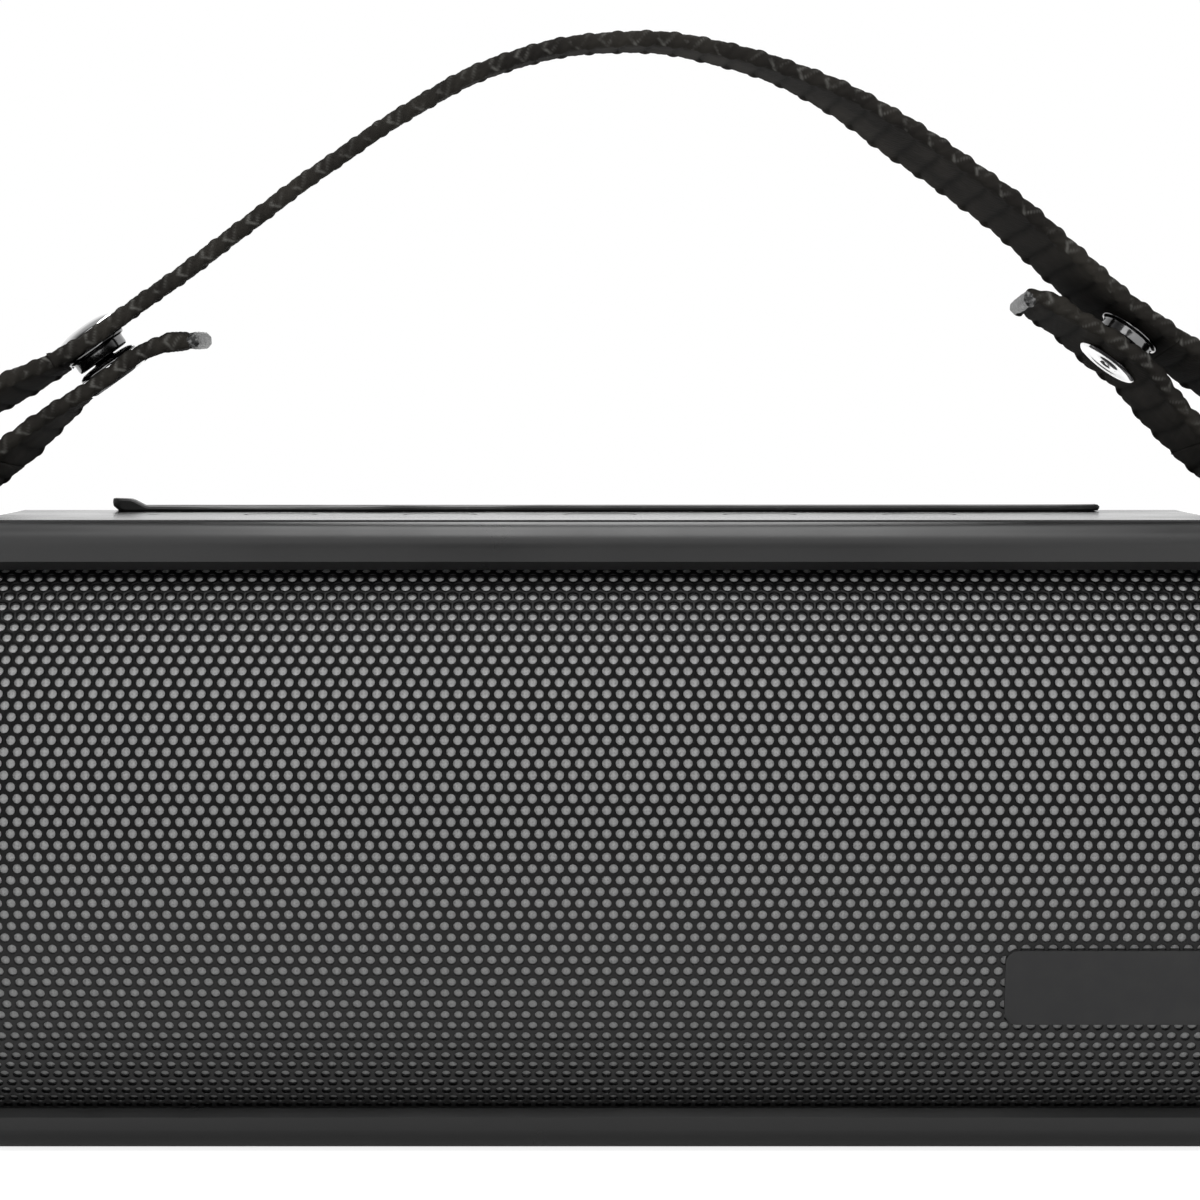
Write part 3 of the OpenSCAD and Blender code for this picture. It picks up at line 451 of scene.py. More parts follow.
def new_piece(name, points, faces, material, body):
    """A smooth mesh piece, which rides on a body if one is named."""
    mesh = bpy.data.meshes.new(name)
    mesh.from_pydata([tuple(p) for p in points], [], faces)
    mesh.polygons.foreach_set("use_smooth", [True] * len(mesh.polygons))
    mesh.materials.append(material)
    mesh.update()
    piece = bpy.data.objects.new(name, mesh)
    bpy.context.collection.objects.link(piece)
    if body:
        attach(piece, body)
    return piece


def smooth_by_angle(piece, degrees):
    """Edges sharper than an angle stay sharp in the shading."""
    piece.data.set_sharp_from_angle(angle=math.radians(degrees))


# ---- The grille ----

CROWN_R = 95 * MM
SHOULDER_R = 32 * MM
CROWN_HALF = 26 * MM
SHEET_T = 0.8 * MM
HOLE_PITCH = 2 * MM
HOLE_R = 0.71 * MM
HOLE_BEVEL = 0.1 * MM
HOLE_SIDES = 12
CLOTH_T = 0.35 * MM
CLOTH_GAP = 0.12 * MM
CLOTH_GRID = (97, 61)
PASS_SINE = CROWN_HALF / CROWN_R
PASS_ANGLE = math.asin(PASS_SINE)


class GrilleSection:
    """The curved section of the front, measured along its arc from the middle height."""

    def __init__(self):
        low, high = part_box("front_grille")
        self.front_y = low.y
        self.mid_z = (low.z + high.z) / 2
        self.half_x = high.x
        half = self.mid_z - low.z
        sine = PASS_SINE + (half - CROWN_HALF) / SHOULDER_R
        self.half_arc = CROWN_R * PASS_ANGLE + SHOULDER_R * (math.asin(sine) - PASS_ANGLE)

    def arc_at(self, height):
        """Arc length from the middle to a height above it."""
        far = abs(height)
        if far <= CROWN_HALF:
            arc = CROWN_R * math.asin(far / CROWN_R)
        else:
            tilt = math.asin(PASS_SINE + (far - CROWN_HALF) / SHOULDER_R)
            arc = CROWN_R * PASS_ANGLE + SHOULDER_R * (tilt - PASS_ANGLE)
        return math.copysign(arc, height)

    def points(self, x, arc, inset):
        """Points on the section at an arc length, set in behind the front face."""
        x, arc, inset = np.broadcast_arrays(x, arc, inset)
        far = np.abs(arc)
        crown_arc = CROWN_R * PASS_ANGLE
        past = far > crown_arc
        tilt = np.where(past, PASS_ANGLE + (far - crown_arc) / SHOULDER_R, far / CROWN_R)
        radius = np.where(past, SHOULDER_R, CROWN_R) - inset
        back = CROWN_R - SHOULDER_R
        centre_z = np.where(past, back * math.sin(PASS_ANGLE), 0)
        centre_y = np.where(past, CROWN_R - back * math.cos(PASS_ANGLE), CROWN_R)
        y = self.front_y + centre_y - radius * np.cos(tilt)
        z = self.mid_z + np.sign(arc) * (centre_z + radius * np.sin(tilt))
        return np.stack([x, y, z], -1)


class PerforatedSheet:
    """Hexagonal cells, each with a bevelled round hole, cut to a rectangle in x and arc length."""

    def __init__(self, section):
        self.section = section
        self.flat = []
        self.faces = []
        self.walls = []
        self.index = {}

    def vertex(self, x, arc, inset, key=None):
        """The number of a vertex. Vertices with the same key are shared between cells."""
        if key is not None and key in self.index:
            return self.index[key]
        half_x, half_arc = self.section.half_x, self.section.half_arc
        self.flat.append((max(-half_x, min(half_x, x)), max(-half_arc, min(half_arc, arc)), inset))
        if key is not None:
            self.index[key] = len(self.flat) - 1
        return len(self.flat) - 1

    def corners(self, column, row, side):
        """A cell's six corners on the front or back, shared with its neighbours."""
        x, arc = cell_centre(column, row)
        inset = SHEET_T if side else 0.0
        found = []
        for k in range(6):
            angle = math.radians(60 * k + 30)
            corner_x = x + HOLE_PITCH / math.sqrt(3) * math.cos(angle)
            corner_arc = arc + HOLE_PITCH / math.sqrt(3) * math.sin(angle)
            key = (round(corner_x / MM * 100), round(corner_arc / MM * 100), side)
            found.append(self.vertex(corner_x, corner_arc, inset, key))
        return found

    def ring(self, x, arc, radius, inset):
        steps = [math.tau * k / HOLE_SIDES + math.radians(30) for k in range(HOLE_SIDES)]
        return [self.vertex(x + radius * math.cos(a), arc + radius * math.sin(a), inset) for a in steps]

    def join(self, outer, inner, flip):
        """Fills between six corners and a ring of twelve points."""
        for k in range(6):
            a, b, c = inner[2 * k], inner[2 * k + 1], inner[(2 * k + 2) % HOLE_SIDES]
            p, q = outer[k], outer[(k + 1) % 6]
            for face in ((p, b, a), (p, q, b), (q, c, b)):
                self.faces.append(face[::-1] if flip else face)

    def quads(self, first, second, into):
        count = len(first)
        for k in range(count):
            n = (k + 1) % count
            into.append((first[k], first[n], second[n], second[k]))

    def cell(self, column, row):
        x, arc = cell_centre(column, row)
        front = self.corners(column, row, 0)
        back = self.corners(column, row, 1)
        margin = HOLE_R + HOLE_BEVEL
        inside = abs(x) < self.section.half_x - margin and abs(arc) < self.section.half_arc - margin
        if not inside:
            self.faces.append(tuple(front))
            self.faces.append(tuple(back[::-1]))
            return
        rim = self.ring(x, arc, HOLE_R + HOLE_BEVEL, 0.0)
        edge = self.ring(x, arc, HOLE_R, HOLE_BEVEL)
        far = self.ring(x, arc, HOLE_R, SHEET_T)
        self.join(front, rim, False)
        self.quads(rim, edge, self.faces)
        self.quads(edge, far, self.walls)
        self.join(back, far, True)

    def close_edges(self):
        """Walls between the front and back along every open edge of the front."""
        count = {}
        for face in self.faces:
            for k, a in enumerate(face):
                b = face[(k + 1) % len(face)]
                pair = (min(a, b), max(a, b))
                count[pair] = count.get(pair, 0) + 1
        twins = {}
        for (x, arc, side), number in self.index.items():
            twins.setdefault((x, arc), {})[side] = number
        twin = {pair[0]: pair[1] for pair in twins.values() if len(pair) == 2}
        for face in list(self.faces):
            for k, a in enumerate(face):
                b = face[(k + 1) % len(face)]
                if count[(min(a, b), max(a, b))] == 1 and a in twin and b in twin:
                    self.faces.append((b, a, twin[a], twin[b]))

    def build(self, name, materials):
        flat = np.array(self.flat)
        points = self.section.points(flat[:, 0], flat[:, 1], flat[:, 2])
        faces = [f for f in self.faces if len({tuple(points[i]) for i in f}) > 2]
        piece = new_piece(name, points, faces + self.walls, materials[0], "root")
        piece.data.materials.append(materials[1])
        piece.data.polygons.foreach_set("material_index", [0] * len(faces) + [1] * len(self.walls))
        smooth_by_angle(piece, 50)
        return piece


def cell_centre(column, row):
    return (column + (row % 2) / 2) * HOLE_PITCH, row * HOLE_PITCH * math.sqrt(3) / 2


def make_grille(section, materials, parts=3):
    """The perforated sheet, in a few strips that meet cell to cell, with a gap behind the badge."""
    low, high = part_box("badge_plate")
    margin = 0.9 * MM
    overhang = HOLE_PITCH * 0.4
    badge_arc = [section.arc_at(z - section.mid_z) for z in (low.z, high.z)]
    rows = int(section.half_arc / (HOLE_PITCH * math.sqrt(3) / 2)) + 1
    columns = int(section.half_x / HOLE_PITCH) + 1
    for part in range(parts):
        sheet = PerforatedSheet(section)
        first = -columns - 1 + round((2 * columns + 2) * part / parts)
        last = -columns - 1 + round((2 * columns + 2) * (part + 1) / parts)
        for row in range(-rows, rows + 1):
            for column in range(first, last):
                x, arc = cell_centre(column, row)
                if abs(x) > section.half_x + overhang or abs(arc) > section.half_arc + overhang:
                    continue
                behind_x = low.x + margin < x < high.x - margin
                behind_arc = badge_arc[0] + margin < arc < badge_arc[1] - margin
                if not (behind_x and behind_arc):
                    sheet.cell(column, row)
        sheet.close_edges()
        sheet.build(f"grille_sheet_{part + 1}", materials)
    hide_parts("front_grille")


def make_cloth(section, finish):
    """The acoustic cloth, stretched over the back of the sheet, as a thin closed grid."""
    half_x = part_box("grille_cloth")[1].x
    half_arc = section.half_arc - 0.4 * MM
    across, up = CLOTH_GRID
    x = np.linspace(-half_x, half_x, across)
    arc = np.linspace(-half_arc, half_arc, up)
    grid_arc, grid_x = np.meshgrid(arc, x, indexing="ij")
    faces = []
    for j in range(up - 1):
        for i in range(across - 1):
            a = j * across + i
            faces.append((a, a + 1, a + 1 + across, a + across))
    points = section.points(grid_x.ravel(), grid_arc.ravel(), SHEET_T + CLOTH_GAP)
    cloth = new_piece("acoustic_cloth", points, faces, finish, None)
    solid = cloth.modifiers.new("thickness", "SOLIDIFY")
    solid.thickness = CLOTH_T
    solid.offset = -1
    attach(cloth, "root")
    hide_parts("grille_cloth")


# ---- The strap ----

STRAP_W = 25 * MM
STRAP_T = 2.2 * MM
RIB_PITCH = 4.4 * MM
RIB_DEPTH = 0.5 * MM
YARN_DEPTH = 0.03 * MM
EDGE_LOOP = 0.34 * MM
EDGE_SWELL = 0.14 * MM
RING_STEP = 0.3 * MM
# A sealed end swells or narrows: how far from its tip and over what length in millimetres, and how much.
SEALED_SHAPE = [(0.9, 0.8, 0.12), (0.0, 0.35, -0.5), (2.4, 0.7, -0.2), (4.6, 1.6, 0.25)]
SEAL_REACH = 1.7 * MM
LAYER_GAP = 6.1
CLAMP_HALF = 5.8
SLOPES = {"left": 35.5, "right": -37.0}
SNAPS = {"left": (-79, 121.9), "right": (82.9, 124.2)}
SIDES = {"left": -1, "right": 1}

# The strap's centre line in millimetres, from the left snap over the top to the right snap.
ARCH = [(-61, 134.9), (-43, 148.3), (-30.5, 156.7), (-18, 163.4), (-6, 167),
        (7, 167.8), (19, 166), (31, 162), (43, 155.3), (61, 142.9)]
# From each snap out to the bar, back from the bar to the snap, and the free end.
OUTER = {
    "left": [(-91.7, 114.2), (-99.5, 110), (-106, 104.4), (-110.6, 98.4), (-112.6, 92.6)],
    "right": [(91.6, 118.2), (99.4, 113), (105.8, 106.6), (110.5, 99.4), (112.6, 92.8)],
}
INNER = {
    "left": [(-104.4, 92), (-102, 94.4), (-97.2, 98.6), (-92, 103.3), (-86.4, 108.4)],
    "right": [(104.4, 92.2), (102, 95.2), (97.2, 100.4), (92, 106), (86.8, 111.6)],
}
FREE_END = {"left": [(-66.5, 121.4), (-61.2, 121.8)], "right": [(68.2, 127.3), (64.6, 127.6)]}
BEND_POINT = 3


def turned(vector, degrees):
    c, s = math.cos(math.radians(degrees)), math.sin(math.radians(degrees))
    return np.array([vector[0] * c - vector[1] * s, vector[0] * s + vector[1] * c])


def spline(points, steps=24):
    """A Catmull-Rom curve through a list of points."""
    p = np.array(points, float)
    p = np.vstack([2 * p[0] - p[1], p, 2 * p[-1] - p[-2]])
    out = []
    for i in range(1, len(p) - 2):
        for k in range(steps):
            t = k / steps
            a, b, c, d = p[i - 1], p[i], p[i + 1], p[i + 2]
            square = (2 * a - 5 * b + 4 * c - d) * t * t
            cube = (3 * b - a - 3 * c + d) * t * t * t
            out.append(0.5 * (2 * b + (c - a) * t + square + cube))
    out.append(p[-2])
    return np.array(out)


def evenly(line, step):
    """The same line in metres, with points at an even distance."""
    line = line * MM
    lengths = np.concatenate([[0], np.cumsum(np.linalg.norm(np.diff(line, axis=0), axis=1))])
    count = max(2, round(lengths[-1] / step))
    at = np.linspace(0, lengths[-1], count + 1)
    return np.stack([np.interp(at, lengths, line[:, k]) for k in range(2)], -1), at


def clamp(side, layer):
    """Three points through a snap, from the free side outwards; layer 1 is the lower one."""
    middle = np.array(SNAPS[side]) - layer * turned((0, LAYER_GAP), SLOPES[side])
    reach = CLAMP_HALF * (0.8 if layer else 1)
    return [middle + turned((k * reach * SIDES[side], 0), SLOPES[side]) for k in (-1, 0, 1)]


def arch_line():
    return spline([*clamp("left", 0)[::-1], *ARCH, *clamp("right", 0)])


def bar_arc(side):
    """Points round the outside of the steel bar, from its outer side under it to its inner side."""
    low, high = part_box(f"strap_bar_{side}")
    x, z = (low.x + high.x) / 2 / MM, (low.z + high.z) / 2 / MM
    radius = (high.z - low.z) / 2 / MM + 0.35 + STRAP_T / 2 / MM
    steps = [math.radians(a) for a in range(0, 181, 30)]
    return [(x + SIDES[side] * radius * math.cos(a), z - radius * math.sin(a)) for a in steps]


def loop_line(side):
    outward = clamp(side, 0)[2]
    return spline([outward, *OUTER[side], *bar_arc(side), *INNER[side][:BEND_POINT + 1]])


def tail_line(side):
    return spline([*INNER[side][BEND_POINT:], *clamp(side, 1)[::-1], *FREE_END[side]])


# How many degrees the near edge is raised, at distances along X in millimetres.
ARCH_TWIST = ([-112, -98, -90, -84, -79, -66, -36, 0, 28, 46, 68, 80, 96, 112],
              [2, 5, 4, 0.5, -3.5, -3.5, -4, -2, 0.5, 7.5, 8, 8.5, 8, 3])
TAIL_TWIST = ([-112, -98, -90, -84, -79, -74, -66, -60, 64, 72, 78, 84, 96, 112],
              [2, 5.5, 5, 1, -3.5, -3.5, -1, -0.6, 2, 5, 8.5, 8.5, 7, 3])


def strap_twist(line, tangent, table=ARCH_TWIST):
    """How far the near edge of the webbing is raised, in radians; none at the bars."""
    lean = np.interp(line[:, 0] / MM, *table)
    clear = np.clip((line[:, 1] / MM - 95) / 12, 0, 1)
    return -np.radians(lean * clear**2 * (3 - 2 * clear)) * np.sign(tangent[:, 0])


def webbing_profile():
    """Points round the webbing's section, as (across, up, turn of the edge) from -1 to 1."""
    flat, edge = 13, 11
    radius = STRAP_T / 2
    reach = STRAP_W / 2 - radius
    ring = []
    for side in (-1, 1):
        for k in range(flat):
            ring.append((side * (-reach + 2 * reach * (k + 0.5) / flat), side * -radius, 0.0))
        for k in range(edge + 1):
            angle = -90 + 180 * k / edge
            c, s = math.cos(math.radians(angle)), math.sin(math.radians(angle))
            ring.append((side * (reach + radius * c), side * radius * s, angle / 90))
    return np.array(ring)


def webbing(name, line, finish, body, sealed=False, phase=0.0):
    """A length of ribbed webbing with braided edges along a centre line in x and z.

    The far end gets a bulge of melted yarn if it is sealed, and any other end is cut square.
    """
    centre, along = evenly(line, RING_STEP)
    tangent = np.gradient(centre, axis=0)
    tangent /= np.linalg.norm(tangent, axis=1)[:, None]
    profile = webbing_profile()
    across, up, bend = profile[:, 0], profile[:, 1], profile[:, 2]
    on_edge = np.abs(across) > STRAP_W / 2 - STRAP_T / 2 - 0.01 * MM
    s = along[:, None]
    turns = (s + phase) / RIB_PITCH
    # Ribs across both faces, and finer ridges where single yarns cross.
    bow = turns + 0.06 * np.sin(across[None, :] * 260 + phase * 3000)
    rib = np.abs(np.sin(math.pi * bow)) ** 0.45 - 0.76
    fine = np.sin(math.tau * (4 * turns + across[None, :] / (7 * MM)))
    face = RIB_DEPTH * rib + YARN_DEPTH * fine
    # Each edge is a row of slanted loops, two to a rib.
    lean = 2 * turns + 0.5 * bend[None, :]
    strand = np.abs(np.sin(math.pi * lean)) ** 0.6 - 0.62
    swell = np.cos(math.tau * (turns + 0.13))
    edge = EDGE_LOOP * strand + EDGE_SWELL * swell
    lift = np.where(on_edge[None, :], edge, face)
    outward = np.stack([np.where(on_edge, np.cos(bend * math.pi / 2) * np.sign(across), 0),
                        np.where(on_edge, np.sin(bend * math.pi / 2) * np.sign(across), np.sign(up))], -1)
    # A slow unevenness along the whole piece.
    drift = 0.12 * MM * np.sin(along * 190 + phase * 900) + 0.08 * MM * np.sin(along * 410 + 1.3)
    section_w = across[None, :] + lift * outward[None, :, 0]
    section_n = up[None, :] + lift * outward[None, :, 1] + drift[:, None] * 0.5
    size = np.ones(len(along))
    if sealed:
        from_tip = along[-1] - along
        for place, length, change in SEALED_SHAPE:
            size += change * np.exp(-((from_tip - place * MM) / (length * MM)) ** 2)
    section_n = section_n * size[:, None]
    twist = strap_twist(centre, tangent, TAIL_TWIST if sealed else ARCH_TWIST)[:, None]
    wide = section_w * np.cos(twist) - section_n * np.sin(twist)
    high = section_n * np.cos(twist) + section_w * np.sin(twist)
    x = centre[:, 0, None] - tangent[:, 1, None] * high
    z = centre[:, 1, None] + tangent[:, 0, None] * high
    points = np.stack([x, wide, z], -1)
    rings, around = points.shape[:2]
    faces = []
    for i in range(rings - 1):
        for k in range(around):
            n = (k + 1) % around
            faces.append((i * around + k, i * around + n, (i + 1) * around + n, (i + 1) * around + k))
    faces.append(tuple(range(around))[::-1])
    faces.append(tuple((rings - 1) * around + k for k in range(around)))
    piece = new_piece(name, points.reshape(-1, 3), faces, finish, body)
    # Painted shade: a mask that darkens the creases between edge loops and between ribs.
    between_loops = 0.8 * np.clip(-0.27 - strand, 0, 1)
    between_ribs = np.clip(0.15 - rib * 2.4, 0, 1)
    valley_shade = np.where(on_edge[None, :], between_loops, between_ribs)
    add_strap_data(piece, along, profile, turns, bend, on_edge, valley_shade)
    return piece


def add_strap_data(piece, along, profile, turns, bend, on_edge, valley_shade):
    """UVs in metres along and round the webbing, where painted highlights make its edge loops pale, and where
    painted shade darkens its creases.
    """
    mesh = piece.data
    step = np.linalg.norm(np.diff(profile[:, :2], axis=0), axis=1)
    girth = np.concatenate([[0], np.cumsum(step)])
    uv = np.stack(np.meshgrid(along, girth, indexing="ij"), -1).reshape(-1, 2)
    unwrapped = mesh.uv_layers.new(name="UVMap")
    corner = np.zeros(len(mesh.loops), int)
    mesh.loops.foreach_get("vertex_index", corner)
    unwrapped.data.foreach_set("uv", uv[corner].ravel())
    # Painted highlights: the pale marks on the edge loops.
    loop_a = np.clip(1 - np.abs((turns - 0.3 * np.abs(bend[None, :] + 0.1)) % 1 - 0.35) / 0.1, 0, 1)
    loop_b = np.clip(1 - np.abs((turns + 0.35 * bend[None, :]) % 1 - 0.75) / 0.07, 0, 1)
    pale = np.maximum(loop_a, 0.7 * loop_b) * on_edge[None, :] * (np.abs(bend)[None, :] < 0.8)
    for name, values in (("loop_glint", pale), ("crease_shade", valley_shade)):
        levels = mesh.attributes.new(name, "FLOAT", "POINT")
        levels.data.foreach_set("value", values.astype(np.float32).ravel())


def seal_end(piece, material, point):
    """Faces near the cut end take the melted material."""
    piece.data.materials.append(material)
    for polygon in piece.data.polygons:
        if (polygon.center - Vector(point)).xz.length < SEAL_REACH:
            polygon.material_index = 1


def make_strap(finish):
    """The arch between the snaps, a loop round each bar, and a tail back to each snap."""
    melted = melted_end()
    arch = webbing("strap_webbing_arch", arch_line(), finish, "strap")
    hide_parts("strap_arch")
    for side in SIDES:
        loop = webbing(f"strap_webbing_loop_{side}", loop_line(side), finish, None, phase=1.7 * MM)
        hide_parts(f"strap_loop_{side}")
        loop_across_swing(loop)
        line = tail_line(side)
        tail = webbing(f"strap_webbing_tail_{side}", line, finish, None, sealed=True, phase=0.6 * MM)
        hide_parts(f"strap_tail_{side}")
        seal_end(tail, melted, in_metres(line[-1]))
        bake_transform(tail)


def in_metres(point):
    """A point of the strap's centre line, given in millimetres, in the scene."""
    return (point[0] * MM, 0, point[1] * MM)


def loop_across_swing(loop):
    """The loop stands still: its placement is baked into its points, and it rides on no body."""
    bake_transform(loop)


# ---- The snap fasteners ----

# Outlines in millimetres, as radius and height above the middle of the webbing.
CAP = [(0, 2.45), (1.6, 2.42), (2.8, 2.3), (3.7, 2.1), (4.4, 1.85), (4.85, 1.6), (5, 1.35), (4.9, 1.15),
       (4.5, 1.1), (0, 1.1)]
SOCKET = [(1.7, -1.2), (5, -1.2), (5.05, -1.45), (4.9, -1.75), (4.5, -1.9), (4.4, -2.2), (4.4, -3.2),
          (4.25, -3.5), (3.9, -3.6), (2.6, -3.6), (2.4, -3.4), (2.4, -1.95), (1.7, -1.9)]
STUD = [(1.25, 1.25), (5, 1.25), (5.05, 1.45), (4.8, 1.8), (4.2, 2.1), (3, 2.25), (1.9, 2.3), (1.5, 2.6),
        (1.55, 3), (1.7, 3.4), (1.6, 3.75), (1.35, 3.9), (1.25, 3.85)]
POST = [(0.75, -1.1), (5, -1.1), (5.05, -1.25), (4.8, -1.52), (4.2, -1.6), (3.5, -1.42), (2.5, -1.28),
        (1.9, -1.42), (1.4, -1.62), (1, -1.55), (0.75, -1.3)]
TURN_STEPS = 56


def lathe(name, outline, at, axis, finish, body):
    """An outline turned about an axis through a point."""
    axis = np.array(axis)
    side = np.cross(axis, (0, 1, 0))
    side /= np.linalg.norm(side)
    other = np.cross(axis, side)
    points = []
    for radius, height in outline:
        for k in range(TURN_STEPS):
            angle = math.tau * k / TURN_STEPS
            spoke = side * math.cos(angle) + other * math.sin(angle)
            points.append(np.array(at) + (spoke * radius + axis * height) * MM)
    faces = []
    count = len(outline)
    for i in range(count):
        n = (i + 1) % count
        for k in range(TURN_STEPS):
            m = (k + 1) % TURN_STEPS
            faces.append((i * TURN_STEPS + k, i * TURN_STEPS + m, n * TURN_STEPS + m, n * TURN_STEPS + k))
    piece = new_piece(name, points, faces, finish, body)
    smooth_by_angle(piece, 50)
    return piece


def make_snaps(finishes):
    """Each snap leans with the webbing: cap and socket on the upper layer, stud and post on the lower."""
    for side in SIDES:
        slope = SLOPES[side]
        along = turned((1, 0), slope)
        lean = strap_twist(np.array([SNAPS[side]]) * MM, along[None, :])[0]
        up = turned((0, 1), slope) * math.cos(lean)
        axis = (up[0], -math.sin(lean), up[1])
        upper = np.array([SNAPS[side][0], 0, SNAPS[side][1]]) * MM
        lower = upper - np.array(axis) * LAYER_GAP * MM / math.cos(lean)
        tail = f"tail_{side}"
        for kind, outline, at, body, slot in (
            ("cap", CAP, upper, "strap", "snap_steel"), ("socket", SOCKET, upper, "strap", "snap_dark"),
            ("stud", STUD, lower, tail, "snap_dark"), ("post", POST, lower, tail, "snap_steel"),
        ):
            piece = lathe(f"turned_{kind}_{side}", outline, at, axis, finishes[slot], body)
            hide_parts(f"snap_{kind}_{side}")


# ---- The flap ----

# How far the flap's top is from flat, along its length, in millimetres.
FLAP_WAVE_AT = [0, 4, 20, 40, 46, 52, 60, 68, 76, 120, 158]
FLAP_WAVE = [0, -0.1, -0.28, -0.22, 0, -0.1, -0.12, 0, 0, 0.02, 0.05]
# The sealing rim under the flap, which plugs the bay.
RIM_INSET = 2.9 * MM
RIM_FRONT = 24.4 * MM
RIM_BACK = 29.7 * MM
RIM_WALL = 1 * MM
RIM_DEPTH = 1.9 * MM


def make_flap(finish):
    """The silicone flap over the ports: a thin tongue with a pull tab, a hinge barrel and a rim."""
    low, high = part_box("port_flap")
    pin_low, pin_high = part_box("flap_pin")
    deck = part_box("main_housing")[1].z
    pin_y, pin_z = (pin_low.y + pin_high.y) / 2, (pin_low.z + pin_high.z) / 2
    barrel = 1.5 * MM
    under = deck + 0.08 * MM
    top = deck + 0.95 * MM
    tab_long = 5.9 * MM
    tab_deep = 5 * MM
    tab_rise = high.z - top
    edge = 0.3 * MM
    front = low.y
    stations = [low.x + step * MM for step in (0, 0.15, 0.4, 0.9, 1.4, 2)]
    stations += [low.x + tab_long * (0.4 + 0.1 * k) for k in range(7)]
    stations += list(np.linspace(low.x + tab_long + 1 * MM, high.x - 1.2 * MM, 110))
    stations += [high.x - 0.7 * MM, high.x - 0.35 * MM, high.x - 0.12 * MM, high.x]
    points = []
    for x in stations:
        from_left, from_right = x - low.x, high.x - x
        # The plate's corners are round in plan, and its top is softly domed and not quite flat.
        corner = 1.5 * MM
        inset = 0.0
        for reach in (from_left, from_right):
            if reach < corner:
                inset = corner - math.sqrt(corner**2 - (corner - reach) ** 2)
        wave = np.interp(from_left / MM, FLAP_WAVE_AT, FLAP_WAVE) * MM
        lift = 0.16 * MM * max(0.0, 1 - from_right / (9 * MM)) ** 2
        ramp = min(1.0, max(0.0, (tab_long - from_left) / (3.4 * MM)))
        rise = tab_rise * (3 * ramp**2 - 2 * ramp**3)
        nail = 0.9 * MM * max(0.0, 1 - from_left / (2 * MM))
        thin = 0.25 * MM if min(from_left, from_right) < 0.13 * MM else 0.0
        up = top + wave - thin
        down = under + lift + nail + thin
        points.append([
            (x, front + inset + edge, down),
            (x, front + inset, down + edge),
            (x, front + inset, max(down + edge * 1.2, up + rise - edge)),
            (x, front + inset + edge, up + rise + lift),
            (x, front + inset + tab_deep * 0.5, up + rise + lift),
            (x, front + inset + tab_deep - edge, up + rise + lift),
            (x, front + inset + tab_deep, up + rise * 0.6 + lift),
            (x, front + inset + tab_deep + edge, up + lift),
            (x, pin_y - barrel - 0.8 * MM, up + lift * 0.4),
            (x, pin_y - barrel * 0.5, top - 0.05 * MM),
            (x, pin_y, pin_z + barrel * 1.05),
            (x, pin_y + barrel * 0.75, pin_z + barrel * 0.75),
            (x, pin_y + barrel, pin_z),
            (x, pin_y + barrel * 0.71, pin_z - barrel * 0.71),
            (x, pin_y, pin_z - barrel),
            (x, pin_y - barrel * 0.71, pin_z - barrel * 0.71),
            (x, pin_y - barrel, pin_z),
            (x, pin_y - barrel, under),
        ])
    around = len(points[0])
    faces = []
    for i in range(len(points) - 1):
        for k in range(around):
            n = (k + 1) % around
            faces.append((i * around + k, (i + 1) * around + k, (i + 1) * around + n, i * around + n))
    faces.append(tuple(range(around)))
    faces.append(tuple((len(points) - 1) * around + k for k in range(around))[::-1])
    flat = [p for ring in points for p in ring]
    add_sealing_rim(flat, faces, low, high, under)
    flap = new_piece("silicone_flap", flat, faces, finish, "port_flap_body")
    smooth_by_angle(flap, 42)
    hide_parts("port_flap")


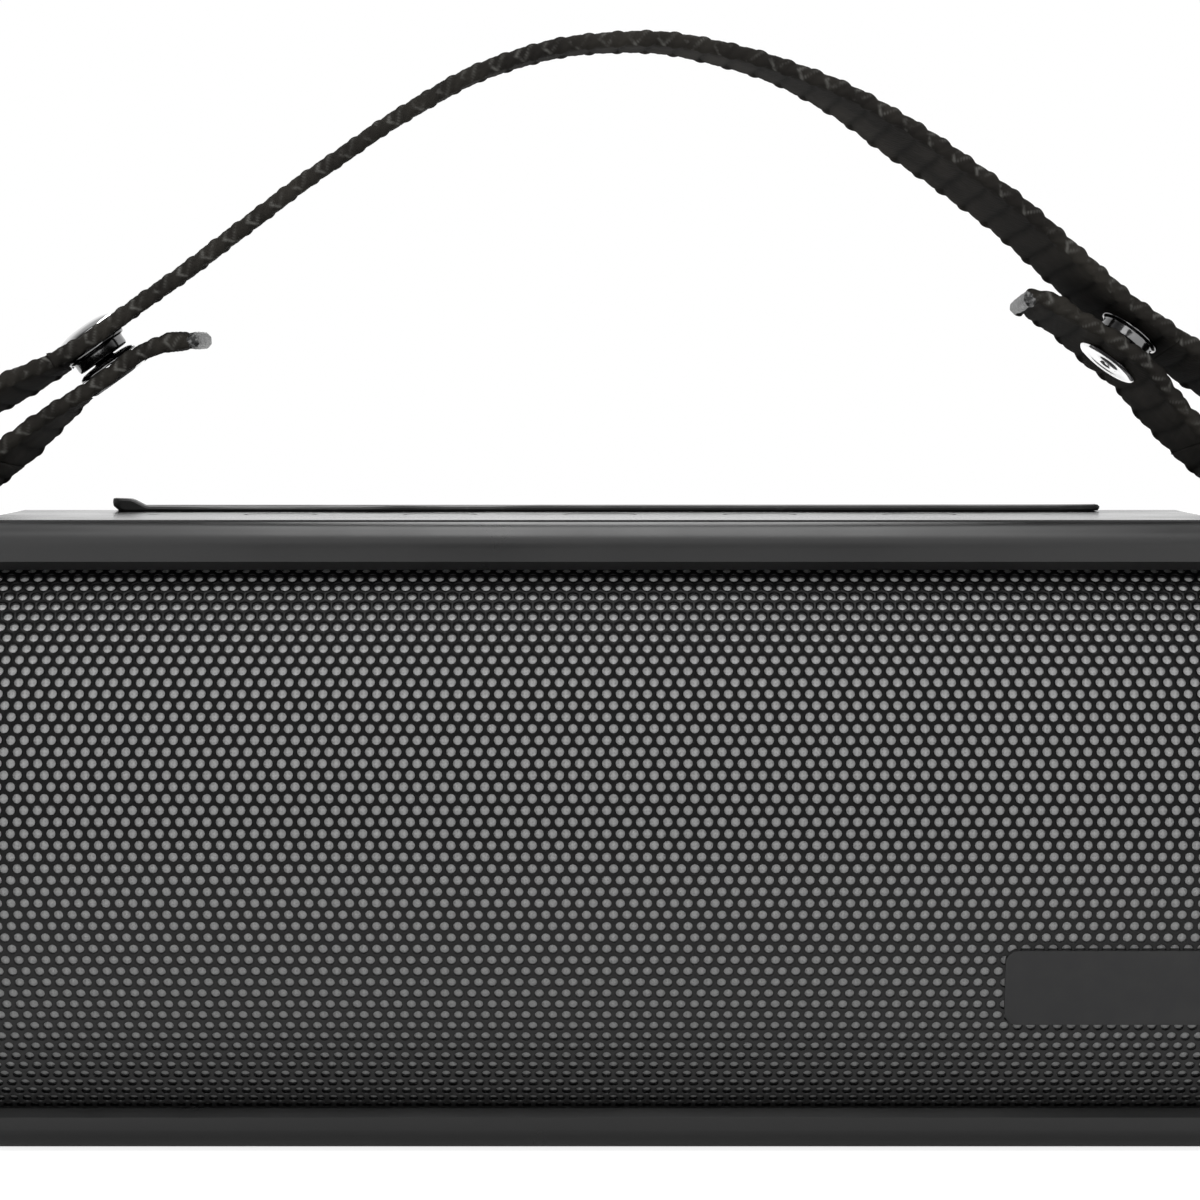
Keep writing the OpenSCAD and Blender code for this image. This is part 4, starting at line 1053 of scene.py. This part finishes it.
def add_sealing_rim(points, faces, low, high, under):
    """A low rim under the flap that plugs the bay."""
    start = len(points)
    outer = (low.x + RIM_INSET, RIM_FRONT, high.x - RIM_INSET, RIM_BACK)
    inner = (outer[0] + RIM_WALL, outer[1] + RIM_WALL, outer[2] - RIM_WALL, outer[3] - RIM_WALL)
    for z in (under + 0.2 * MM, under - RIM_DEPTH):
        for x0, y0, x1, y1 in (outer, inner):
            points += [(x0, y0, z), (x1, y0, z), (x1, y1, z), (x0, y1, z)]
    top_out, top_in, low_out, low_in = (range(start + 4 * k, start + 4 * k + 4) for k in range(4))
    for k in range(4):
        n = (k + 1) % 4
        faces.append((low_out[k], low_out[n], top_out[n], top_out[k]))
        faces.append((low_in[n], low_in[k], top_in[k], top_in[n]))
        faces.append((low_out[n], low_out[k], low_in[k], low_in[n]))
        faces.append((top_out[k], top_out[n], top_in[n], top_in[k]))


# ---- Shading of the carried-over CAD nodes ----

# The width of the small bevel on a node's sharp corners.
NODE_EDGES = {"badge_plate": 0.12 * MM}


def shade_node(name, edge=0.0, corner=32):
    """A rounded stretch of a CAD node shades as one curve, and its corners stay sharp or get a small edge."""
    node = nodes[name]
    mesh = node.data
    if mesh.has_custom_normals:
        mesh.attributes.remove(mesh.attributes["custom_normal"])
    mesh.polygons.foreach_set("use_smooth", [True] * len(mesh.polygons))
    mesh.edges.foreach_set("use_edge_sharp", [False] * len(mesh.edges))
    weld = node.modifiers.new("weld", "WELD")
    weld.merge_threshold = 0.001 * MM
    if edge:
        bevel = node.modifiers.new("edge", "BEVEL")
        bevel.width = edge
        bevel.segments = 2
        bevel.limit_method = "ANGLE"
        bevel.angle_limit = math.radians(corner)
        bevel.use_clamp_overlap = True
    split = node.modifiers.new("corners", "EDGE_SPLIT")
    split.split_angle = math.radians(corner)
    split.use_edge_sharp = False
    node.modifiers.new("flats", "WEIGHTED_NORMAL")


def main():
    make_camera()
    make_world()
    make_stage()
    finishes = make_finishes()
    paint_frame(finishes)
    section = GrilleSection()
    make_grille(section, (finishes["grille_black"], bare_bore()))
    make_cloth(section, finishes["cloth_grey"])
    make_strap(finishes["webbing"])
    make_snaps(finishes)
    make_flap(finishes["rubber_black"])
    for name in nodes:
        shade_node(name, NODE_EDGES.get(name, 0.0))


main()
